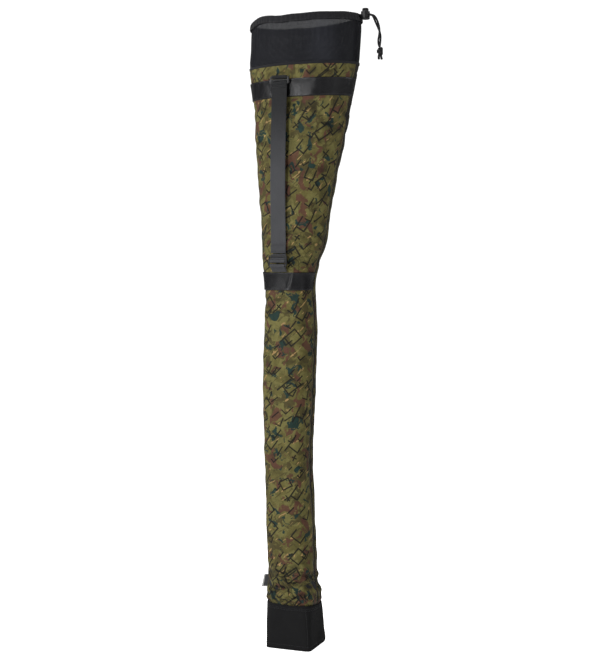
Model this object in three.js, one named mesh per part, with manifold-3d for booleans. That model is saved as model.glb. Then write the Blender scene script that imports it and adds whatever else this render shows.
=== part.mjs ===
// A slim drawstring carry bag that stands on its own boot, in millimetres, +Z up, front towards -Y.
// A stiff square boot carries a long narrow tube of padded fabric, which opens into a cone and ends in a
// mesh collar with a drawcord, a cord lock and a webbing carry strap on two slide buckles.
// The origin is the centre of the boot's underside.
import * as THREE from 'three';
import { ParametricGeometry } from 'three/addons/geometries/ParametricGeometry.js';
import { mergeVertices } from 'three/addons/utils/BufferGeometryUtils.js';
import Module from 'manifold-3d';

const wasm = await Module();
wasm.setup();

// ---------------------------------------------------------------- driving dimensions

const GAP = 0.3; // clearance between neighbours
const AROUND = 32; // facets round the bag
const CORD_SIDES = 8;

// The bag's outer surface, from inside the boot to the rim: height, centre across, half width, half depth,
// squareness (2 is an ellipse) and how much the right side sits higher than the middle.
const STATIONS = [
  { z: 13, cx: 0, a: 43, b: 39.6, n: 4.2, lift: 0 },
  { z: 70, cx: -2.3, a: 43.4, b: 39.8, n: 3.6, lift: 0 },
  { z: 90, cx: -2.5, a: 43.8, b: 40, n: 3.6, lift: 0 },
  { z: 105, cx: -4, a: 48.5, b: 43.5, n: 3.2, lift: 0 },
  { z: 160, cx: -6, a: 45.5, b: 42, n: 3, lift: 0 },
  { z: 240, cx: -9, a: 45, b: 42, n: 3, lift: 0 },
  { z: 315, cx: -12, a: 44, b: 41.5, n: 3, lift: 0 },
  { z: 390, cx: -13.5, a: 44.5, b: 41.5, n: 3, lift: 0 },
  { z: 470, cx: -12.5, a: 47.5, b: 43, n: 3, lift: 0 },
  { z: 590, cx: -10, a: 48, b: 43, n: 3, lift: 0 },
  { z: 653, cx: -10, a: 46, b: 42.5, n: 3, lift: 0 },
  { z: 705, cx: -11, a: 47, b: 42.5, n: 2.8, lift: 0 },
  { z: 737.5, cx: -9, a: 54, b: 45, n: 2.5, lift: 0 },
  { z: 782.5, cx: -3, a: 63, b: 49, n: 2.4, lift: 0.5 },
  { z: 844.5, cx: 0.5, a: 70.8, b: 53, n: 2.3, lift: 1 },
  { z: 905.5, cx: 4, a: 78.5, b: 56.5, n: 2.2, lift: 1.5 },
  { z: 967.5, cx: 9, a: 87, b: 59.5, n: 2.2, lift: 2 },
  { z: 1028.5, cx: 13.5, a: 93.8, b: 62, n: 2.1, lift: 2.5 },
  { z: 1060, cx: 15, a: 99.8, b: 64, n: 2.1, lift: 3 },
  { z: 1090, cx: 16, a: 104.6, b: 67.5, n: 2.1, lift: 3 },
  { z: 1110.5, cx: 17, a: 108, b: 71, n: 2, lift: 3 },
  { z: 1126, cx: 17.5, a: 109.5, b: 74.5, n: 2, lift: 4 },
  { z: 1148, cx: 19.5, a: 109, b: 78, n: 2, lift: 5 },
  { z: 1175, cx: 21, a: 108.5, b: 80.5, n: 2, lift: 6 },
  { z: 1200, cx: 21, a: 106, b: 82, n: 2, lift: 7 },
];

// The boot's outer surface. Its top edge slopes down to the right.
const BOOT_STATIONS = [
  { z: 0, cx: 0, a: 46.5, b: 44.5, n: 12, lift: 0 },
  { z: 40, cx: -1, a: 46.5, b: 43.8, n: 9, lift: -1.5 },
  { z: 85, cx: -2.5, a: 47, b: 43, n: 4.5, lift: -4 },
];

const WALL = { panel: 2, lining: 0.8, boot: 2.2, mesh: 1.6, band: 1.6 };
const PLATE = { bottom: 2.4, board: 2.5, pad: 7 };
const BODY = { bottom: 70, waist: 705, throat: 1066, seam: 1110.5 }; // waist and throat seams lie under the bands
const LINING = { bottom: 13, top: 1106.5 };
const COLLAR = { bottom: BODY.seam + GAP, top: 1190 };
const HEM = { bottom: 1186, top: 1200, outside: 2.7, inside: -4.3, cloth: 0.8 };
const HEM_SLOT = { x: 129, width: 8, depth: 18, height: 6.2 }; // where the drawcord comes out
const LOWER_BAND = { bottom: 688, top: 722.5, seamAllowance: 0.6 };
const UPPER_BAND = { bottom: 1050, top: 1084, seamAllowance: 0.6 };

const CORD = { radius: 1.75, spread: 2.3, twist: 1.35, lockSpread: 2.2 };
const RING = { offset: -0.8, z: 1196.5, startAngle: 0.14, points: 47, steps: 80 }; // the drawcord inside the hem
const LOCK = { x: 139.8, z: 1203.4, radius: 8.5, bottom: -8.4, top: 6.6, bore: 6.3, floor: 1.3 };
const PLUNGER = { radius: 6, bottom: -2.9, top: 12.6, crown: 1.4, crownRadius: 4.8, press: 2.5, eye: 1.6, eyeZ: 9.8 };
const TUNNEL = { width: 8.8, height: 4.6 };
const SPRING = { radius: 4.4, wire: 0.35, turns: 3, bottom: -6.6, top: -3.6 };

// Where the drawcord turns out of the hem on its way to the lock: across and depth.
const RING_EXIT = [
  [134, 2.2],
  [130.4, 2.9],
  [127.6, 5.6],
];

// The middle of the two free cord ends, from the cord lock to the knot: across and height.
const CORD_ROUTE = [
  [140.1, 1203.4],
  [144, 1203.4],
  [148, 1203.4],
  [151, 1203.2],
  [154, 1202],
  [156.8, 1199.3],
  [159.2, 1195.4],
  [161.6, 1190],
  [164.2, 1183.6],
  [166.5, 1176.6],
  [167.9, 1169.8],
  [168.1, 1163],
  [167.5, 1156.4],
  [167.3, 1150.2],
  [168.2, 1145],
  [169.4, 1141.9],
];
const STRAIGHT_POINTS = 4; // of the route, before the two strands start to wind round each other
const KNOT = { x: 170.2, z: 1135.4, radius: 6, depth: 5, tipTop: -4, tipBottom: -14, tipLean: 0.16 };

const WEBBING = { width: 30, thick: 1.5, loop: 1.2 };
const UPPER_BUCKLE = { x: -2.5, y: -76, z: 1086.2, width: 38, bar: 2.6, slot: 3, thick: 2.4 };
const LOWER_BUCKLE = { x: -15, y: -55, z: 735, width: 37, bar: 3, slot: 6, thick: 2.4 };
const BUCKLE = { slotWidth: 31.2, corner: 2 };
const UPPER_EYE = 2.1; // inner radius of the webbing turn on a buckle bar
const LOWER_EYE = 2.25;
const STRAP = { top: 1067, bottom: 758.5, yTop: -76, yBottom: -50.4, bow: 6, steps: 16 };
const TAIL = { length: 14.5, thick: 2 };
const TAG = { root: -53.6, length: 18.6, height: 25, z: 119.5, thick: 1.2, corner: 1.5 };

// ---------------------------------------------------------------- materials

const cloth = (name, color, roughness = 0.9) => new THREE.MeshStandardMaterial({ name, color, roughness });
const FINISH = {
  print: cloth('printed_ripstop', 0x5a5a2c),
  boot: cloth('boot_fabric', 0x17171a),
  board: cloth('base_board', 0x2a2a2a, 0.7),
  foam: cloth('foam', 0x3a3a3c),
  lining: cloth('lining', 0x202022),
  band: cloth('coated_band', 0x101012, 0.35),
  mesh: cloth('open_mesh', 0x1d1e21),
  hem: cloth('hem_tape', 0x111113),
  cord: cloth('cord', 0x0e0e10),
  webbing: cloth('webbing', 0x151517, 0.7),
  plastic: cloth('moulded_plastic', 0x0c0c0d, 0.45),
  tag: cloth('woven_tag', 0x303030),
  steel: new THREE.MeshStandardMaterial({ name: 'spring_steel', color: 0xb0b0b0, roughness: 0.3, metalness: 1 }),
};

// ---------------------------------------------------------------- solids

/** A closed three.js geometry as a manifold solid. */
function toSolid(geometry) {
  const bare = geometry.clone();
  bare.deleteAttribute('normal');
  bare.deleteAttribute('uv');
  const merged = mergeVertices(bare, 1e-4);
  return new wasm.Manifold(
    new wasm.Mesh({
      numProp: 3,
      vertProperties: new Float32Array(merged.attributes.position.array),
      triVerts: new Uint32Array(merged.index.array),
    }),
  );
}

/** A manifold solid back as a geometry. */
function toGeometry(solid) {
  const mesh = solid.getMesh();
  const geometry = new THREE.BufferGeometry();
  geometry.setAttribute('position', new THREE.BufferAttribute(mesh.vertProperties, 3));
  geometry.setIndex(new THREE.BufferAttribute(mesh.triVerts, 1));
  geometry.computeVertexNormals();
  return geometry;
}

const box = (width, depth, height, x, y, z) => new THREE.BoxGeometry(width, depth, height).translate(x, y, z);

/** An upright cylinder between two heights. */
function cylinder(radius, bottom, top, sides = 32) {
  const geometry = new THREE.CylinderGeometry(radius, radius, top - bottom, sides);
  return geometry.rotateX(Math.PI / 2).translate(0, 0, (top + bottom) / 2);
}

/** The cross-section at a height, straight between the stations. */
function section(stations, z) {
  const above = Math.max(1, stations.findIndex((s) => s.z >= z));
  const [low, high] = [stations[above - 1], stations[above]];
  const t = (z - low.z) / (high.z - low.z);
  const mix = (key) => THREE.MathUtils.lerp(low[key], high[key], t);
  return { cx: mix('cx'), a: mix('a'), b: mix('b'), n: mix('n'), lift: mix('lift') };
}

const squared = (value, n) => Math.sign(value) * Math.abs(value) ** (2 / n);

/** A point on a surface of stations, set out from it by an offset. */
function surfacePoint(stations, z, angle, offset) {
  const { cx, a, b, n, lift } = section(stations, z);
  const across = squared(Math.cos(angle), n);
  return new THREE.Vector3(
    cx + (a + offset) * across,
    (b + offset) * squared(Math.sin(angle), n),
    z + lift * across,
  );
}

/** A closed wall swept round the bag: the profile is a loop of [offset, height] points. */
function ringWall(stations, profile) {
  const points = profile.length;
  const place = (u, v, target) => {
    const [offset, z] = profile[Math.round(v * points) % points];
    const angle = ((Math.round(u * AROUND) % AROUND) * 2 * Math.PI) / AROUND;
    target.copy(surfacePoint(stations, z, angle, offset));
  };
  return new ParametricGeometry(place, AROUND, points);
}

/** A sleeve of the surface between two heights and two offsets. */
function sleeve(stations, bottom, top, inside, outside) {
  const between = stations.map((s) => s.z).filter((z) => z > bottom + 1 && z < top - 1);
  const levels = [bottom, ...between, top];
  const outer = levels.map((z) => [outside, z]);
  const inner = levels.toReversed().map((z) => [inside, z]);
  return ringWall(stations, [...outer, ...inner]);
}

const HALF_SPACE = { width: 400, depth: 200, height: 2600 }; // larger than half of the bag

/** The half of a geometry in front of (side -1) or behind (side 1) the side seams. */
function half(geometry, side, margin = GAP / 2) {
  const { width, depth, height } = HALF_SPACE;
  const keep = box(width, depth, height, 0, side * (depth / 2 + margin), 0);
  return toGeometry(toSolid(geometry).intersect(toSolid(keep)));
}

/** A flat plate with the outline of a surface at one height. */
function plate(stations, atZ, offset, bottom, thick) {
  const outline = Array.from({ length: AROUND }, (_, i) =>
    surfacePoint(stations, atZ, (i * 2 * Math.PI) / AROUND, offset),
  );
  const shape = new THREE.Shape(outline.map((p) => new THREE.Vector2(p.x, p.y)));
  return new THREE.ExtrudeGeometry(shape, { depth: thick, bevelEnabled: false }).translate(0, 0, bottom);
}

/** A side-view shape, in depth and height, extruded across the bag. */
function acrossBag(shape, width, x) {
  const turn = new THREE.Matrix4().makeBasis(
    new THREE.Vector3(0, 1, 0),
    new THREE.Vector3(0, 0, 1),
    new THREE.Vector3(1, 0, 0),
  );
  const geometry = new THREE.ExtrudeGeometry(shape, { depth: width, bevelEnabled: false, curveSegments: 10 });
  return geometry.applyMatrix4(turn).translate(x - width / 2, 0, 0);
}

/** Webbing turned round a bar, its two layers running together to an end point: a side-view shape. */
function webbingTurn(eye, end, innerRadius, layer) {
  const outer = innerRadius + layer;
  const away = Math.atan2(end.y - eye.y, end.x - eye.x);
  const lean = Math.asin(layer / outer);
  const side = new THREE.Vector2(-Math.sin(away), Math.cos(away)).multiplyScalar(layer);
  const shape = new THREE.Shape();
  shape.absarc(eye.x, eye.y, outer, away + lean, away + 2 * Math.PI - lean, false);
  shape.lineTo(end.x - side.x, end.y - side.y);
  shape.lineTo(end.x + side.x, end.y + side.y);
  shape.closePath();
  shape.holes.push(new THREE.Path().absarc(eye.x, eye.y, innerRadius, 0, 2 * Math.PI, true));
  return shape;
}

/** A rectangle with round corners. */
function roundRect(width, height, radius) {
  const [x, y] = [width / 2, height / 2];
  const shape = new THREE.Shape();
  shape.absarc(x - radius, y - radius, radius, 0, Math.PI / 2, false);
  shape.absarc(radius - x, y - radius, radius, Math.PI / 2, Math.PI, false);
  shape.absarc(radius - x, radius - y, radius, Math.PI, 1.5 * Math.PI, false);
  shape.absarc(x - radius, radius - y, radius, 1.5 * Math.PI, 2 * Math.PI, false);
  return shape;
}

/** A slide buckle with three bars and two slots, hanging below or standing above its first bar. */
function buckle({ x, y, z, width, bar, slot, thick }, upwards) {
  const height = 3 * bar + 2 * slot;
  const shape = roundRect(width, height, BUCKLE.corner);
  for (const side of [-1, 1]) {
    const middle = (side * (bar + slot)) / 2;
    const [left, right] = [-BUCKLE.slotWidth / 2, BUCKLE.slotWidth / 2];
    const hole = new THREE.Path();
    hole.moveTo(left, middle - slot / 2);
    hole.lineTo(left, middle + slot / 2);
    hole.lineTo(right, middle + slot / 2);
    hole.lineTo(right, middle - slot / 2);
    hole.closePath();
    shape.holes.push(hole);
  }
  const geometry = new THREE.ExtrudeGeometry(shape, { depth: thick, bevelEnabled: false, curveSegments: 4 });
  const middleZ = z + upwards * (bar + slot);
  return geometry.rotateX(Math.PI / 2).translate(x, y + thick / 2, middleZ);
}

/** A round cord along a curve. */
function cordTube(curve, radius, steps, sides = CORD_SIDES) {
  const ring = new THREE.Shape();
  ring.absarc(0, 0, radius, 0, 2 * Math.PI, false);
  const outline = new THREE.Shape(ring.getPoints(sides).slice(0, sides));
  return new THREE.ExtrudeGeometry(outline, { steps, bevelEnabled: false, extrudePath: curve });
}

// ---------------------------------------------------------------- boot

function bootWall() {
  return sleeve(BOOT_STATIONS, PLATE.bottom + GAP, 85, -WALL.boot, 0);
}

const bootFloor = () => plate(BOOT_STATIONS, 0, 0, 0, PLATE.bottom);

/** A plate that lies inside the boot's wall. */
const bootInsert = (bottom, thick) => plate(BOOT_STATIONS, 0, -WALL.boot - 2 * GAP, bottom, thick);

// ---------------------------------------------------------------- body and collar

const bodyPanel = (bottom, top, side) => half(sleeve(STATIONS, bottom, top, -WALL.panel, 0), side);
const tubePanel = (side) => bodyPanel(BODY.bottom, BODY.waist, side);
const conePanel = (top, side) => bodyPanel(BODY.waist + GAP, top, side);
const throatPanel = (side) => bodyPanel(BODY.throat + GAP, BODY.seam, side);

/** The lining: a thin sleeve inside the panels with a closed floor. */
function lining() {
  const outside = -WALL.panel - GAP;
  const wall = sleeve(STATIONS, LINING.bottom, LINING.top, outside - WALL.lining, outside);
  const floor = plate(STATIONS, LINING.bottom, outside - WALL.lining / 2, LINING.bottom, WALL.lining);
  return toGeometry(toSolid(wall).add(toSolid(floor)));
}

const band = ({ bottom, top, seamAllowance }) =>
  half(sleeve(STATIONS, bottom, top, GAP, GAP + WALL.band), -1, seamAllowance);

const collarPanel = (side) => half(sleeve(STATIONS, COLLAR.bottom, COLLAR.top, -WALL.mesh, 0), side);

/** The hem is folded down over the mesh on both sides; the drawcord leaves it through a slot on the right. */
function hem() {
  const { bottom, top, outside, inside, cloth: thick } = HEM;
  const wall = ringWall(STATIONS, [
    [outside, bottom],
    [outside, top],
    [inside, top],
    [inside, bottom],
    [inside + thick, bottom],
    [inside + thick, top - thick],
    [outside - thick, top - thick],
    [outside - thick, bottom],
  ]);
  const slot = box(HEM_SLOT.width, HEM_SLOT.depth, HEM_SLOT.height, HEM_SLOT.x, 0, LOCK.z);
  return toGeometry(toSolid(wall).subtract(toSolid(slot)));
}

// ---------------------------------------------------------------- drawcord

/** The drawcord inside the hem: out of the lock, once round the rim and back to the lock. */
function drawcordLoop() {
  const exit = [[LOCK.x - GAP, CORD.lockSpread], ...RING_EXIT];
  const { startAngle, points: count } = RING;
  const ringAngles = Array.from({ length: count }, (_, i) =>
    THREE.MathUtils.lerp(startAngle, 2 * Math.PI - startAngle, i / (count - 1)),
  );
  const points = [
    ...exit.map(([x, y]) => new THREE.Vector3(x, y, LOCK.z)),
    ...ringAngles.map((angle) => surfacePoint(STATIONS, RING.z, angle, RING.offset)),
    ...exit.toReversed().map(([x, y]) => new THREE.Vector3(x, -y, LOCK.z)),
  ];
  return cordTube(new THREE.CatmullRomCurve3(points), CORD.radius, RING.steps);
}

/** One free cord end. The two wind once round each other between the lock and the knot. */
function cordEnd(side) {
  const middle = CORD_ROUTE.map(([x, z]) => new THREE.Vector3(x, 0, z));
  const last = middle.length - 1;
  const points = middle.map((point, i) => {
    const wound = Math.max(0, i - STRAIGHT_POINTS + 1) / (last - STRAIGHT_POINTS + 1);
    const turn = 2 * Math.PI * wound ** CORD.twist;
    const along = middle[Math.min(i + 1, last)].clone().sub(middle[Math.max(i - 1, 0)]).normalize();
    const sideways = new THREE.Vector3(-along.z, 0, along.x);
    const spread = side * THREE.MathUtils.lerp(CORD.lockSpread, CORD.spread, Math.min(1, wound * 4));
    const offset = sideways.multiplyScalar(Math.sin(turn)).setY(Math.cos(turn));
    return point.clone().addScaledVector(offset, spread);
  });
  return cordTube(new THREE.CatmullRomCurve3(points), CORD.radius, 30);
}

/** The overhand knot that holds both cord ends, with the two cut tips below it. */
function cordKnot() {
  const { radius, depth, tipTop, tipBottom, tipLean } = KNOT;
  const ball = new THREE.SphereGeometry(radius, 14, 10).rotateX(Math.PI / 2).scale(1, depth / radius, 1);
  const tips = [-1, 1].map((side) =>
    cylinder(CORD.radius, tipBottom, tipTop, CORD_SIDES)
      .translate(side * CORD.radius, side, 0)
      .rotateY(-tipLean * side),
  );
  const solid = tips.reduce((whole, tip) => whole.add(toSolid(tip)), toSolid(ball));
  return toGeometry(solid).translate(KNOT.x, 0, KNOT.z);
}

// ---------------------------------------------------------------- cord lock, around its own centre

/** The tunnel that both cords run through. */
const cordTunnel = (bottom, top) => toSolid(box(30, TUNNEL.width, top - bottom, 0, 0, (bottom + top) / 2));

function lockBarrel() {
  const { radius, bottom, top, bore, floor } = LOCK;
  const barrel = toSolid(cylinder(radius, bottom, top));
  const hollow = toSolid(cylinder(bore, bottom + floor, top + 1));
  const reach = TUNNEL.height / 2;
  return toGeometry(barrel.subtract(hollow).subtract(cordTunnel(-reach, reach)));
}

function lockPlunger() {
  const { radius, bottom, top, crown, crownRadius, press, eye, eyeZ } = PLUNGER;
  const stem = toSolid(cylinder(radius, bottom, top - crown));
  const taper = new THREE.CylinderGeometry(crownRadius, radius, crown, 32).rotateX(Math.PI / 2);
  const cap = toSolid(taper.translate(0, 0, top - crown / 2));
  const hole = toSolid(cylinder(eye, -20, 20, 16).rotateX(Math.PI / 2).translate(0, 0, eyeZ));
  const clear = CORD.radius + GAP;
  return toGeometry(stem.add(cap).subtract(cordTunnel(-clear, clear + press)).subtract(hole));
}

class Helix extends THREE.Curve {
  getPoint(t, target = new THREE.Vector3()) {
    const turn = t * SPRING.turns * 2 * Math.PI;
    const z = THREE.MathUtils.lerp(SPRING.bottom, SPRING.top, t);
    return target.set(SPRING.radius * Math.cos(turn), SPRING.radius * Math.sin(turn), z);
  }
}

const lockSpring = () => cordTube(new Helix(), SPRING.wire, 48, 6);

// ---------------------------------------------------------------- strap and buckles

const strapZ = (t) => THREE.MathUtils.lerp(STRAP.bottom, STRAP.top, t);
const strapY = (t) => THREE.MathUtils.lerp(STRAP.yBottom, STRAP.yTop, t) - STRAP.bow * Math.sin(Math.PI * t);

/** A strip of webbing along the strap's bowed side view, between two fractions of its length. */
function strapStrip(from, to, steps, front, back) {
  const at = (i) => THREE.MathUtils.lerp(from, to, i / steps);
  const places = Array.from({ length: steps + 1 }, (_, i) => [strapY(at(i)), strapZ(at(i))]);
  const edge = places.map(([y, z]) => new THREE.Vector2(y + back, z));
  const face = places.toReversed().map(([y, z]) => new THREE.Vector2(y - front, z));
  const lean = (UPPER_BUCKLE.x - LOWER_BUCKLE.x) / (STRAP.top - STRAP.bottom);
  const geometry = acrossBag(new THREE.Shape([...edge, ...face]), WEBBING.width, LOWER_BUCKLE.x);
  const shear = new THREE.Matrix4().set(1, 0, lean, -lean * STRAP.bottom, 0, 1, 0, 0, 0, 0, 1, 0, 0, 0, 0, 1);
  return geometry.applyMatrix4(shear);
}

const carryStrap = () => strapStrip(0, 1, STRAP.steps, WEBBING.thick / 2, WEBBING.thick / 2);

/** The strap's free end, folded once, lying on the strap just above the lower buckle. */
function strapTail() {
  const near = WEBBING.thick / 2 + GAP;
  return strapStrip(0, TAIL.length / (STRAP.top - STRAP.bottom), 2, near + TAIL.thick, -near);
}

/** Webbing round one bar of a buckle: bar 0 is the hinge bar, and end is where its layers stop. */
function turnOnBar(buckleAt, upwards, bar, end, radius) {
  const z = buckleAt.z + upwards * bar * (buckleAt.bar + buckleAt.slot);
  const eye = new THREE.Vector2(buckleAt.y, z);
  const shape = webbingTurn(eye, new THREE.Vector2(...end), radius, WEBBING.loop);
  return acrossBag(shape, WEBBING.width, buckleAt.x);
}

const upperTab = () => turnOnBar(UPPER_BUCKLE, -1, 0, [-67.6, 1086.3], UPPER_EYE);
const strapUpperTurn = () => turnOnBar(UPPER_BUCKLE, -1, 2, [STRAP.yTop, STRAP.top + 0.6], UPPER_EYE);
const lowerTab = () => turnOnBar(LOWER_BUCKLE, 1, 0, [-46, 724.2], LOWER_EYE);
const strapLowerTurn = () => turnOnBar(LOWER_BUCKLE, 1, 1, [STRAP.yBottom + 0.7, STRAP.bottom - 1.8], LOWER_EYE);

/** The blank woven tag, sewn into the left side seam. */
function sideTag() {
  const shape = roundRect(TAG.length, TAG.height, TAG.corner);
  const geometry = new THREE.ExtrudeGeometry(shape, { depth: TAG.thick, bevelEnabled: false, curveSegments: 3 });
  return geometry.rotateX(Math.PI / 2).translate(TAG.root - TAG.length / 2, TAG.thick / 2, TAG.z);
}

// ---------------------------------------------------------------- the bag

function part(name, geometry, material) {
  const mesh = new THREE.Mesh(geometry, material);
  mesh.name = name;
  return mesh;
}

const boardBottom = PLATE.bottom + 2 * GAP;
const boot = new THREE.Group().add(
  part('boot_wall', bootWall(), FINISH.boot),
  part('boot_bottom', bootFloor(), FINISH.boot),
  part('base_board', bootInsert(boardBottom, PLATE.board), FINISH.board),
  part('base_pad', bootInsert(boardBottom + PLATE.board + GAP, PLATE.pad), FINISH.foam),
);

const body = new THREE.Group().add(
  part('tube_front_panel', tubePanel(-1), FINISH.print),
  part('tube_back_panel', tubePanel(1), FINISH.print),
  part('cone_front_panel', conePanel(BODY.throat, -1), FINISH.print),
  part('throat_front_panel', throatPanel(-1), FINISH.print),
  part('cone_back_panel', conePanel(BODY.seam, 1), FINISH.print),
  part('lining', lining(), FINISH.lining),
  part('lower_band', band(LOWER_BAND), FINISH.band),
  part('upper_band', band(UPPER_BAND), FINISH.band),
  part('side_tag', sideTag(), FINISH.tag),
);

const collar = new THREE.Group().add(
  part('collar_front', collarPanel(-1), FINISH.mesh),
  part('collar_back', collarPanel(1), FINISH.mesh),
  part('collar_hem', hem(), FINISH.hem),
  part('drawcord_loop', drawcordLoop(), FINISH.cord),
  part('cord_end_front', cordEnd(-1), FINISH.cord),
  part('cord_end_back', cordEnd(1), FINISH.cord),
  part('cord_knot', cordKnot(), FINISH.cord),
);

const cordLock = new THREE.Group().add(
  part('cord_lock_barrel', lockBarrel(), FINISH.plastic),
  part('cord_lock_plunger', lockPlunger(), FINISH.plastic),
  part('cord_lock_spring', lockSpring(), FINISH.steel),
);
cordLock.position.set(LOCK.x, 0, LOCK.z);

const strap = new THREE.Group().add(
  part('upper_tab', upperTab(), FINISH.webbing),
  part('upper_buckle', buckle(UPPER_BUCKLE, -1), FINISH.plastic),
  part('strap_upper_turn', strapUpperTurn(), FINISH.webbing),
  part('carry_strap', carryStrap(), FINISH.webbing),
  part('strap_tail', strapTail(), FINISH.webbing),
  part('strap_lower_turn', strapLowerTurn(), FINISH.webbing),
  part('lower_buckle', buckle(LOWER_BUCKLE, 1), FINISH.plastic),
  part('lower_tab', lowerTab(), FINISH.webbing),
);

export default new THREE.Group().add(boot, body, collar, cordLock, strap);
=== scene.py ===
import logging
import math
from dataclasses import dataclass, field
from enum import Enum
from typing import Callable, Iterable, Sequence

import bmesh
import bpy
import numpy as np
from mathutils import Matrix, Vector, noise


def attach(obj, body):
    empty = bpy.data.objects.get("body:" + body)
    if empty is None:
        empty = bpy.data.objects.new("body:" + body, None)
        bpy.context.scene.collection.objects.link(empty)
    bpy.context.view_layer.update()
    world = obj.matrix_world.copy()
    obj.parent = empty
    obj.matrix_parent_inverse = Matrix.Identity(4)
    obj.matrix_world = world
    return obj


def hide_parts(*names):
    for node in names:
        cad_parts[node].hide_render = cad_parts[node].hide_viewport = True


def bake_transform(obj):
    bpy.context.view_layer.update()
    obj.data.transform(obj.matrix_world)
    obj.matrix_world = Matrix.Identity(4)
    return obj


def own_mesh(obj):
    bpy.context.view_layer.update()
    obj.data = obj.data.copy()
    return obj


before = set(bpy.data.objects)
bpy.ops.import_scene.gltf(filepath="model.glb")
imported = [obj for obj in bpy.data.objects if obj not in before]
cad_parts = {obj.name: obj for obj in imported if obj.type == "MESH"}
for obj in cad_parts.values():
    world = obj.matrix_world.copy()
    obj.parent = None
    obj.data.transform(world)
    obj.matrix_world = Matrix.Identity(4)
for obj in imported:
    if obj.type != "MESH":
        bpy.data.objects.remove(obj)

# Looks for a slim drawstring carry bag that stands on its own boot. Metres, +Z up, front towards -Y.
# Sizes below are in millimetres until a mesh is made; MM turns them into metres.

LOG = logging.getLogger("carry_bag")
MM = 0.001
CLOTH_UV = "cloth"  # the UV map that holds the flat cloth's places, in metres
BACK_CLOTH = 700.0  # where the back's cloth begins on the flat plane, mm
VALLEY = "valley"  # the attribute that says how deep a place lies in a fold; the print uses it for painted shade
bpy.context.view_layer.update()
LEVEL = np.array([1, 1, 0])
UPRIGHT = np.array([0, 0, 1])
LEFT, RIGHT, FRONT_END = math.pi, 0.0, 2 * math.pi  # angles round the bag
MIX_FACTOR, MIX_LOW, MIX_HIGH, MIX_RESULT = 0, 6, 7, 2  # sockets of a colour Mix node


# ---------------------------------------------------------------- shader maths


class Wire:
    """A socket that can be used in arithmetic. An expression on wires adds Math nodes."""

    def __init__(self, graph: "Graph", socket: bpy.types.NodeSocket) -> None:
        """Wraps one output socket of a graph."""
        self.graph = graph
        self.socket = socket

    def math(self, operation: str, *others: "Wire | float") -> "Wire":
        """Adds one Math node.

        Args:
            operation: The Math node's operation.
            others: The second and third inputs.

        Returns:
            The node's result.
        """
        inputs = {i: value for i, value in enumerate((self, *others))}
        return self.graph.add("ShaderNodeMath", {"operation": operation}, inputs).out(0)

    def __add__(self, other: "Wire | float") -> "Wire":
        """Sum."""
        return self.math("ADD", other)

    def __sub__(self, other: "Wire | float") -> "Wire":
        """Difference."""
        return self.math("SUBTRACT", other)

    def __mul__(self, other: "Wire | float") -> "Wire":
        """Product."""
        return self.math("MULTIPLY", other)

    def __gt__(self, other: "Wire | float") -> "Wire":
        """1 where this is more than other."""
        return self.math("GREATER_THAN", other)

    def __lt__(self, other: "Wire | float") -> "Wire":
        """1 where this is less than other."""
        return self.math("LESS_THAN", other)

    def __and__(self, other: "Wire | float") -> "Wire":
        """The smaller of two masks."""
        return self.math("MINIMUM", other)

    def __or__(self, other: "Wire | float") -> "Wire":
        """The larger of two masks."""
        return self.math("MAXIMUM", other)

    def __abs__(self) -> "Wire":
        """Size without sign."""
        return self.math("ABSOLUTE")

    def __radd__(self, other: float) -> "Wire":
        """Sum with a number first."""
        return self + other

    def __rsub__(self, other: float) -> "Wire":
        """Difference from a number."""
        return self.graph.add("ShaderNodeMath", {"operation": "SUBTRACT"}, {0: other, 1: self}).out(0)

    def __rmul__(self, other: float) -> "Wire":
        """Product with a number first."""
        return self * other

    def sin(self) -> "Wire":
        """Sine."""
        return self.math("SINE")

    def cos(self) -> "Wire":
        """Cosine."""
        return self.math("COSINE")

    def wave(self, period: float) -> "Wire":
        """A sine along this value, from 0 to 1 and back over one period."""
        return (self * (2 * math.pi / period)).sin() * 0.5 + 0.5

    def step(self, low: float, high: float) -> "Wire":
        """A smooth step from 0 at low to 1 at high."""
        settings = {"interpolation_type": "SMOOTHSTEP"}
        inputs = {"Value": self, "From Min": low, "From Max": high}
        return self.graph.add("ShaderNodeMapRange", settings, inputs).out(0)


class Made:
    """A node that was just added."""

    def __init__(self, graph: "Graph", node: bpy.types.Node) -> None:
        """Keeps the node with its graph."""
        self.graph = graph
        self.node = node

    def out(self, name: str | int) -> Wire:
        """One of its outputs."""
        return Wire(self.graph, self.node.outputs[name])


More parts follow.
